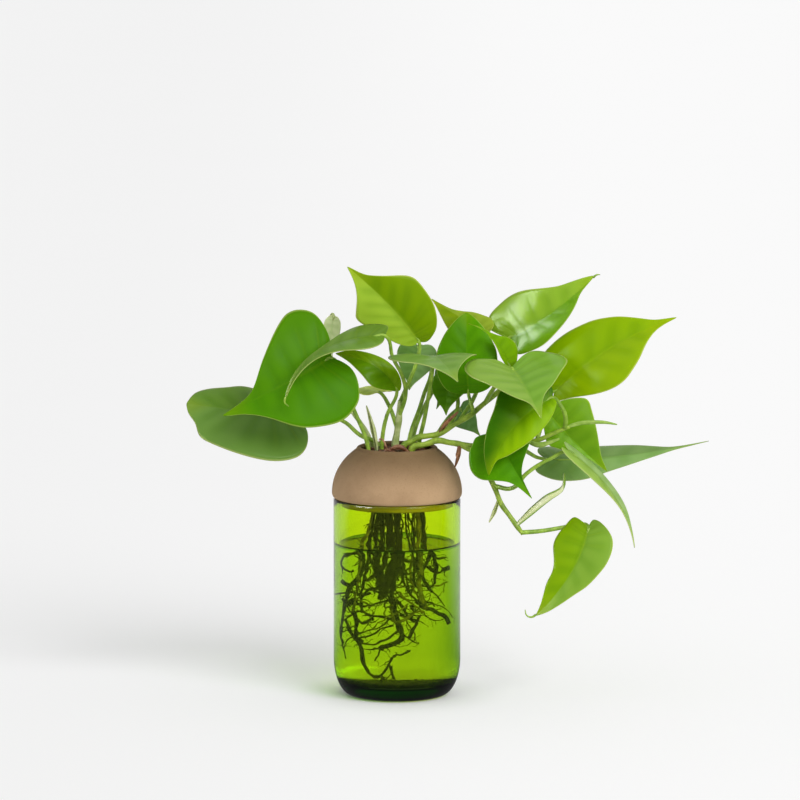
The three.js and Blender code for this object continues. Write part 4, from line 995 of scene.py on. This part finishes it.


# roots: strands drawn after the photo, a dense column of them in the hole, a loose tangle, and
# fine side roots

rootSettings = {"seed": 21, "hole": 13.5, "top": 116, "sway": 0.9, "lump": 0.7, "step": 2.4, "sides": 1,
                "column": 20, "tangle": 34, "wall": 31.5, "collar": 15.3, "collarHeight": 113, "flare": 1.4,
                "floor": 10, "dark": ((7, 6, 5), (30, 26, 18)), "pale": ((84, 74, 44), (150, 136, 88))}
rootRoutes = [  # width at both ends in mm, then right, away and up from the base, dark if it says no other
    (1.2, 0.7, [(-13, -4, 114), (-17, -6, 98), (-20.5, -8, 91), (-22, -10, 84), (-23, -12, 74),
        (-24.5, -12, 62), (-26.5, -10, 52)], "pale"),
    (1.3, 1.2, [(-12, -2, 114), (-15, -2, 97), (-17, -4, 90), (-20, -8, 80), (-23, -10, 72), (-29, -12, 66),
        (-33, -12, 56), (-35, -10, 46), (-36, -8, 38)]),
    (1.1, 0.7, [(-10, 0, 114), (-13, 0, 96), (-16, -4, 88), (-18, -8, 76), (-20, -10, 68), (-21.5, -12, 60),
        (-19, -12, 51), (-10, -10, 49), (-1, -8, 47)]),
    (1.5, 2.2, [(-8, -6, 114), (-9, -8, 96), (-11, -10, 84), (-12, -10, 78), (-9, -12, 70), (-8, -12, 61)]),
    (1.8, 0.8, [(-5, -4, 114), (-5, -6, 95), (-7, -9, 82), (-9, -10, 77), (-14, -10, 73), (-19, -8, 70)]),
    (1.3, 1.9, [(-4, -7, 114), (-3, -9, 94), (-1, -10, 83), (-4, -11, 74), (-7, -12, 66), (-10, -12, 60)]),
    (1.7, 0.9, [(0, -8, 114), (1, -9, 95), (1, -10, 84), (-1, -11, 76), (-3, -11, 66), (-2, -10, 56),
        (0, -9, 48), (3, -8, 40)]),
    (1.4, 1.2, [(12, -6, 114), (13, -8, 98), (14, -10, 87), (14, -12, 76), (13, -12, 68), (15, -12, 60),
        (17, -11, 53)], "pale"),
    (1.5, 0.8, [(14, 0, 114), (15.5, 0, 100), (14.5, -1, 94), (16, -2, 90), (19, -4, 84), (16.5, -5, 78)]),
    (1.1, 0.9, [(14, 2, 103), (17, 0, 92), (20, -1, 88), (22.5, -2, 82), (23.5, -4, 76), (22, -6, 68)]),
    (0.8, 0.3, [(20, 0, 84), (25, -2, 82), (30.5, -4, 83)]),
    (0.6, 1.2, [(17, 0, 78), (24, -4, 74), (28, -5, 76), (32.5, -5, 77)]),
    (0.5, 0.3, [(16, -8, 68), (20, -8, 64), (25, -8, 60), (29, -8, 54)]),
    (0.9, 1.3, [(17, -10, 53), (20, -10, 53), (25, -10, 50), (30, -10, 48), (32.5, -10, 44)]),
    (0.4, 0.25, [(18, -9, 56), (25, -8, 55), (31, -7, 52), (35, -6, 47)]),
    (1.2, 0.5, [(-26, -10, 52), (-24, -11, 44), (-25, -12, 37), (-22, -12, 32), (-21, -12, 27),
        (-19, -12, 19), (-15, -12, 15), (-10, -12, 14.5), (-6.5, -12, 18), (-3, -12, 24), (-1, -12, 26),
        (4, -11, 27), (8, -10, 29)]),
    (1.5, 1.3, [(-1, -8, 47), (1, -9, 42), (3, -10, 37), (-1, -10, 33.5), (-7, -10, 31), (-9.5, -10, 30)]),
    (0.8, 1.6, [(-33, -10, 47), (-29, -11, 41), (-26, -12, 37), (-21, -12, 34)]),
    (0.6, 0.5, [(-24, -12, 36), (-16, -12, 38), (-8, -11, 42), (-2, -10, 44)]),
    (0.7, 0.6, [(-22, -12, 33), (-13, -12, 33), (-4, -11, 37), (1, -10, 41)]),
    (0.4, 0.4, [(-22, -12, 30), (-15, -12, 29.5), (-9, -12, 31)]),
    (1.0, 0.4, [(-36, -8, 40), (-35.5, -6, 34), (-33.5, -8, 29), (-32, -8, 23)]),
    (0.4, 0.3, [(-26, -11, 36), (-30, -10, 35), (-32, -9, 32), (-33.5, -9, 28)]),
    (0.6, 0.3, [(-7, -10, 31), (-9, -10, 29), (-11, -11, 25), (-13, -11, 22)]),
    (0.9, 0.5, [(-24, -6, 86), (-30, -6, 85), (-34.5, -6, 83), (-35, -6, 78), (-30, -8, 75), (-26, -8, 76)]),
    (1.4, 1.0, [(-35, -4, 69), (-31, -6, 67), (-26, -8, 68), (-21, -9, 71)]),
    (1.0, 2.4, [(-34, -4, 58), (-31, -6, 56), (-28, -8, 57), (-25, -9, 58)]),
    (0.6, 0.7, [(-20, -9, 61), (-16, -9, 65), (-9, -10, 67)]),
    (0.6, 0.6, [(-20, -10, 55), (-12, -10, 57), (-3, -10, 60)]),
    (0.5, 0.6, [(-34, -10, 46), (-27, -11, 50), (-20, -11, 52)]),
    (0.4, 0.4, [(-23, -11, 39), (-10, -11, 43), (-4, -10, 48)]),
    (0.35, 0.3, [(-36, -8, 38), (-28, -10, 42), (-24, -11, 44)]),
    (0.6, 1.1, [(2, -9, 50), (8, -10, 48), (12, -10, 45), (9, -10, 41), (7, -10, 36)]),
    (0.5, 0.3, [(3, -10, 39), (8, -10, 35), (13, -10, 33)]),
    (0.4, 0.3, [(17, -10, 50), (22, -9, 46), (29, -8, 47)]),
    (0.9, 0.8, [(-1, -12, 61), (-3.5, -12, 53), (-1, -13, 46), (5, -13, 48), (11, -13, 52), (16, -12, 52)],
        "pale"),
    (0.6, 0.6, [(2, -12, 63), (7, -12, 58), (12, -12, 55)], "pale"),
    (0.7, 0.6, [(4, -8, 88), (3, -10, 74), (7, -10, 64), (12, -11, 58), (15, -12, 54)]),
    (0.7, 0.6, [(8, -9, 90), (8, -10, 76), (10, -11, 66), (14, -12, 58)], "pale"),
    (0.8, 0.6, [(10, -9, 90), (12, -10, 80), (10, -11, 72), (13, -11, 64), (16, -11, 58)]),
    (0.8, 0.5, [(-1, -8, 60), (5, -10, 52), (10, -11, 46), (14, -11, 50)]),
    (1.4, 0.9, [(-8, -10, 14), (-8.5, -11, 11.5)]),
    (0.9, 0.5, [(-4, -9, 20), (-3, -10, 16), (-1, -10, 12.5)]),
]


def rootFinish(name, dark, light):
    f = newFinish(name)
    streak = f.grain(f.coords(), 240, 4, 0.65)
    colour = f.blend(streak.over(0.35, 0.72), tone(*dark), tone(*light))
    return f.opaque(colour, 0.62 + streak * 0.2, f.bump(streak, 0.4, 0.0004), 0.2)


def keepInGlass(point):
    s = rootSettings
    reach = math.hypot(point.x, point.y)
    most = min(s["wall"], s["collar"] + max(0, s["collarHeight"] - point.z) * s["flare"])
    if reach > most:
        point = Vector((point.x * most / reach, point.y * most / reach, point.z))
    point.z = max(point.z, s["floor"])
    return point


def drawnIn(place):  # the water magnifies what is in it, so a place read from the photo moves inwards
    x, y, z = place
    inner = glass["radius"] - glass["wall"]
    return Vector((x * (1 - (inner + y) / (4 * inner)) if z < water["level"] else x, y, z))


def makeRoots():
    s = rootSettings
    rng = random.Random(s["seed"])
    noise.seed_set(s["seed"])  # or the strands would sway another way in each run
    routes, hairs = {"pale": [], "dark": []}, []

    def anyOf(first, last):
        return Vector([rng.uniform(p, q) for p, q in zip(first, last)])

    def swerved(aim):
        return (aim + anyOf((-0.8, -0.8, -0.8), (0.8, 0.8, 0.8))).normalized()

    def addHair(spot, width):
        aim = anyOf((-1, -1, -0.9), (1, 1, 0.5)).normalized()
        hair = []
        for k in range(5):
            hair.append((spot * mm, max(0.14, min(0.42, width * 0.5) * (1 - k / 6))))
            aim = swerved(aim)
            spot = keepInGlass(spot + aim * rng.uniform(0.8, 2.4))
        hairs.append(hair)

    def addStrand(points, first, last, kind, side):
        offset = rng.uniform(0, 100)
        length = sum((q - p).length for p, q in zip(points, points[1:]))
        steps = max(5, int(length / s["step"]))
        strand = []
        for k in range(steps + 1):
            wobble = noise.noise_vector(Vector((k * 0.8, offset, 0.3))) * s["sway"]
            lump = 1 + s["lump"] * noise.noise(Vector((k * 1.3, offset, 7)))
            width = (first + (last - first) * k / steps) * lump
            strand.append((keepInGlass(smoothAt(points, k / steps) + wobble), width))
        routes[kind].append([(point * mm, width) for point, width in strand])
        for point, width in strand[1:]:
            if rng.random() < side:
                addHair(point, width)

    for first, last, places, *kind in rootRoutes:
        addStrand([drawnIn(place) for place in places], first, last, kind[0] if kind else "dark", 0.6)
    for _ in range(s["column"]):
        points = [around(s["hole"] * math.sqrt(rng.random()), rng.uniform(0, math.tau), s["top"])]
        while points[-1].z > 92 - rng.uniform(0, 26):
            points.append(points[-1] + anyOf((-2.4, -2.4, -5), (2.4, 2.4, -9)))
        points.append(points[-1] + anyOf((-4, -4, -4), (4, 4, -9)))
        kind = "pale" if points[0].x > 2 and rng.random() < 0.5 else "dark"
        addStrand(points, rng.uniform(0.4, 0.9), rng.uniform(0.3, 0.7), kind, 0.5)
    for _ in range(s["tangle"]):
        points = [anyOf((-15, -20, 46), (13, 14, 84))]
        aim = anyOf((-1, -1, -0.8), (1, 1, 0.2)).normalized()
        for _ in range(rng.randint(4, 7)):
            points.append(points[-1] + aim * rng.uniform(2.6, 4.6))
            aim = swerved(aim)
        addStrand(points, rng.uniform(0.35, 0.8), rng.uniform(0.2, 0.45),
                  "pale" if rng.random() < 0.25 else "dark", 0.5)
    finishes = {kind: rootFinish(kind + "Root", *s[kind]) for kind in ("dark", "pale")}
    dark, pale = (drawnTubes(kind + "Roots", routes[kind], s["sides"], 2, finish)
                  for kind, finish in finishes.items())
    fine = drawnTubes("fineRoots", hairs, 0, 2, finishes["dark"])
    settle(joined(dark, pale, fine), "rootMass", "plant", "root", "root_mass")
    print("roots made:", len(routes["dark"]) + len(routes["pale"]), "strands,", len(hairs), "fine")


makeRoots()


# silt that has come off the roots, on the floor of the glass

silt = {"section": [(0, 8.3), (12, 8.3), (22, 8.3), (27, 8.3), (27.8, 8.5), (27, 8.9), (22, 9.1), (16, 9.2),
                    (8, 9.2), (0, 9.2)],
        "steps": 72, "skin": 8.6, "rough": 0.5, "seed": 8, "crumbs": 150, "reach": 27.5, "height": 8.7,
        "dark": (16, 20, 10), "light": (48, 54, 30)}


def makeSilt():
    s = silt
    rng = random.Random(s["seed"])
    finish = rootFinish("greenSilt", s["dark"], s["light"])
    bed = turned("siltBed", s["section"], s["steps"], finish)
    for vertex in bed.data.vertices:
        if vertex.co.z > s["skin"] * mm:
            vertex.co.z += (noise.noise(vertex.co * 300) + 0.6) * s["rough"] * mm
    smoothShade(bed, 60)

    def crumbPlace():
        reach, turn = s["reach"] * rng.random() ** 0.4, rng.uniform(0, math.tau)
        size = rng.uniform(0.25, 0.8) * mm
        scale = (size, size * rng.uniform(0.7, 1.3), size * rng.uniform(0.5, 0.9))
        return scale, (0, 0, 0), around(reach, turn, s["height"] + rng.uniform(0.5, 1.1)) * mm

    bpy.ops.mesh.primitive_ico_sphere_add(subdivisions=1, radius=1)
    crumb = bpy.context.object
    crumb.data.materials.append(finish)
    crumbs = scattered(crumb, s["crumbs"], crumbPlace, rng, (0.75, 1.2))
    smoothShade(crumbs, 60)
    settle(joined(bed, crumbs), "siltBed", "vessel", "root")


makeSilt()
print("silt laid")


# stage and light: a soft key from the right, and a window that only the gloss of the leaves shows

stage = {"floor": (250, 250, 250), "stain": (236, 236, 236), "size": 60, "drop": 0.0003, "lift": 0.22,
         "ambient": 0.58, "sun": 2.0, "sunFrom": (0.5, -0.68, 0.54), "softness": 36, "left": 0.875,
         "right": 0.985, "window": (-0.87, -0.42, 0.25), "windowLevel": 15, "skyLevel": 0.7,
         "dusk": 0.12, "wallLevel": 0.6}


def floorFinish():
    f = newFinish("paleFloor")
    coords = f.coords()
    spot = f.split(coords)
    path = f.node("LightPath", outlet="Is Glossy Ray")
    colour = f.blend(f.grain(coords, 6, 2) * 0.06, tone(*stage["floor"]), tone(*stage["stain"]))
    paper = f.node("BsdfDiffuse", None, {"Color": colour})
    lit = f.glowing(spot.over(-0.3, 0.25) * 0.28 + 0.94)
    shown = (path.outlet("Is Camera Ray") + path.outlet("Is Transmission Ray")).over(0, 1)
    beside = f.node("VectorMath", {"operation": "LENGTH"}, {0: coords}, "Value").over(0.036, 0.07)
    seen = f.mixed(shown * beside * stage["lift"], paper, lit)
    farther = spot.outlet("Y").over(0.03, 0.3)  # gloss shows the white table only behind the planter
    return f.done(f.mixed(path * path.outlet("Is Reflection Ray"), seen, f.glowing(farther * 0.62 + 0.1)))


def studioWorld():
    w = Finish(bpy.data.worlds.new("studio"))
    path = w.node("LightPath", outlet="Is Camera Ray")
    shown = (path + path.outlet("Is Transmission Ray")).over(0, 1)
    aimed = w.coords("Generated")
    parts = w.split(aimed)
    backdrop = parts.over(-0.06, 0.05) * (stage["right"] - stage["left"]) + stage["left"]
    window = Vector(stage["window"]).normalized()
    toWindow = w.node("VectorMath", {"operation": "DOT_PRODUCT"}, {0: aimed, 1: window}, "Value")
    sheen = parts.outlet("Z").over(0.1, 0.8) * stage["skyLevel"] + stage["dusk"]
    sheen = sheen + toWindow.over(0.92, 0.985) * stage["windowLevel"]
    sheen = sheen + parts.outlet("Y").over(0.7, 0.97) * stage["wallLevel"]
    level = shown * (backdrop - stage["ambient"]) + stage["ambient"]
    mirrored = path.outlet("Is Glossy Ray") * path.outlet("Is Reflection Ray")
    level = level + mirrored * (sheen - stage["ambient"])
    w.node("OutputWorld", None, {"Surface": w.node("Background", None, {"Color": white, "Strength": level})})
    return w.owner


def makeStage():
    bpy.ops.mesh.primitive_plane_add(size=stage["size"], location=(0, 0, -stage["drop"]))
    floor = bpy.context.object
    floor.name = "floor"
    floor.data.materials.append(floorFinish())

    aim = Vector(stage["sunFrom"]).normalized()
    bpy.ops.object.light_add(type="SUN", location=aim * 3)
    sun = bpy.context.object
    sun.name = "windowLight"
    sun.rotation_euler = aim.to_track_quat("Z", "Y").to_euler()
    sun.data.energy = stage["sun"]
    sun.data.angle = math.radians(stage["softness"])
    bpy.context.scene.world = studioWorld()
    bpy.context.scene.view_settings.view_transform = "Standard"


makeStage()
print("stage lit")

bpy.ops.object.select_all(action="DESELECT")
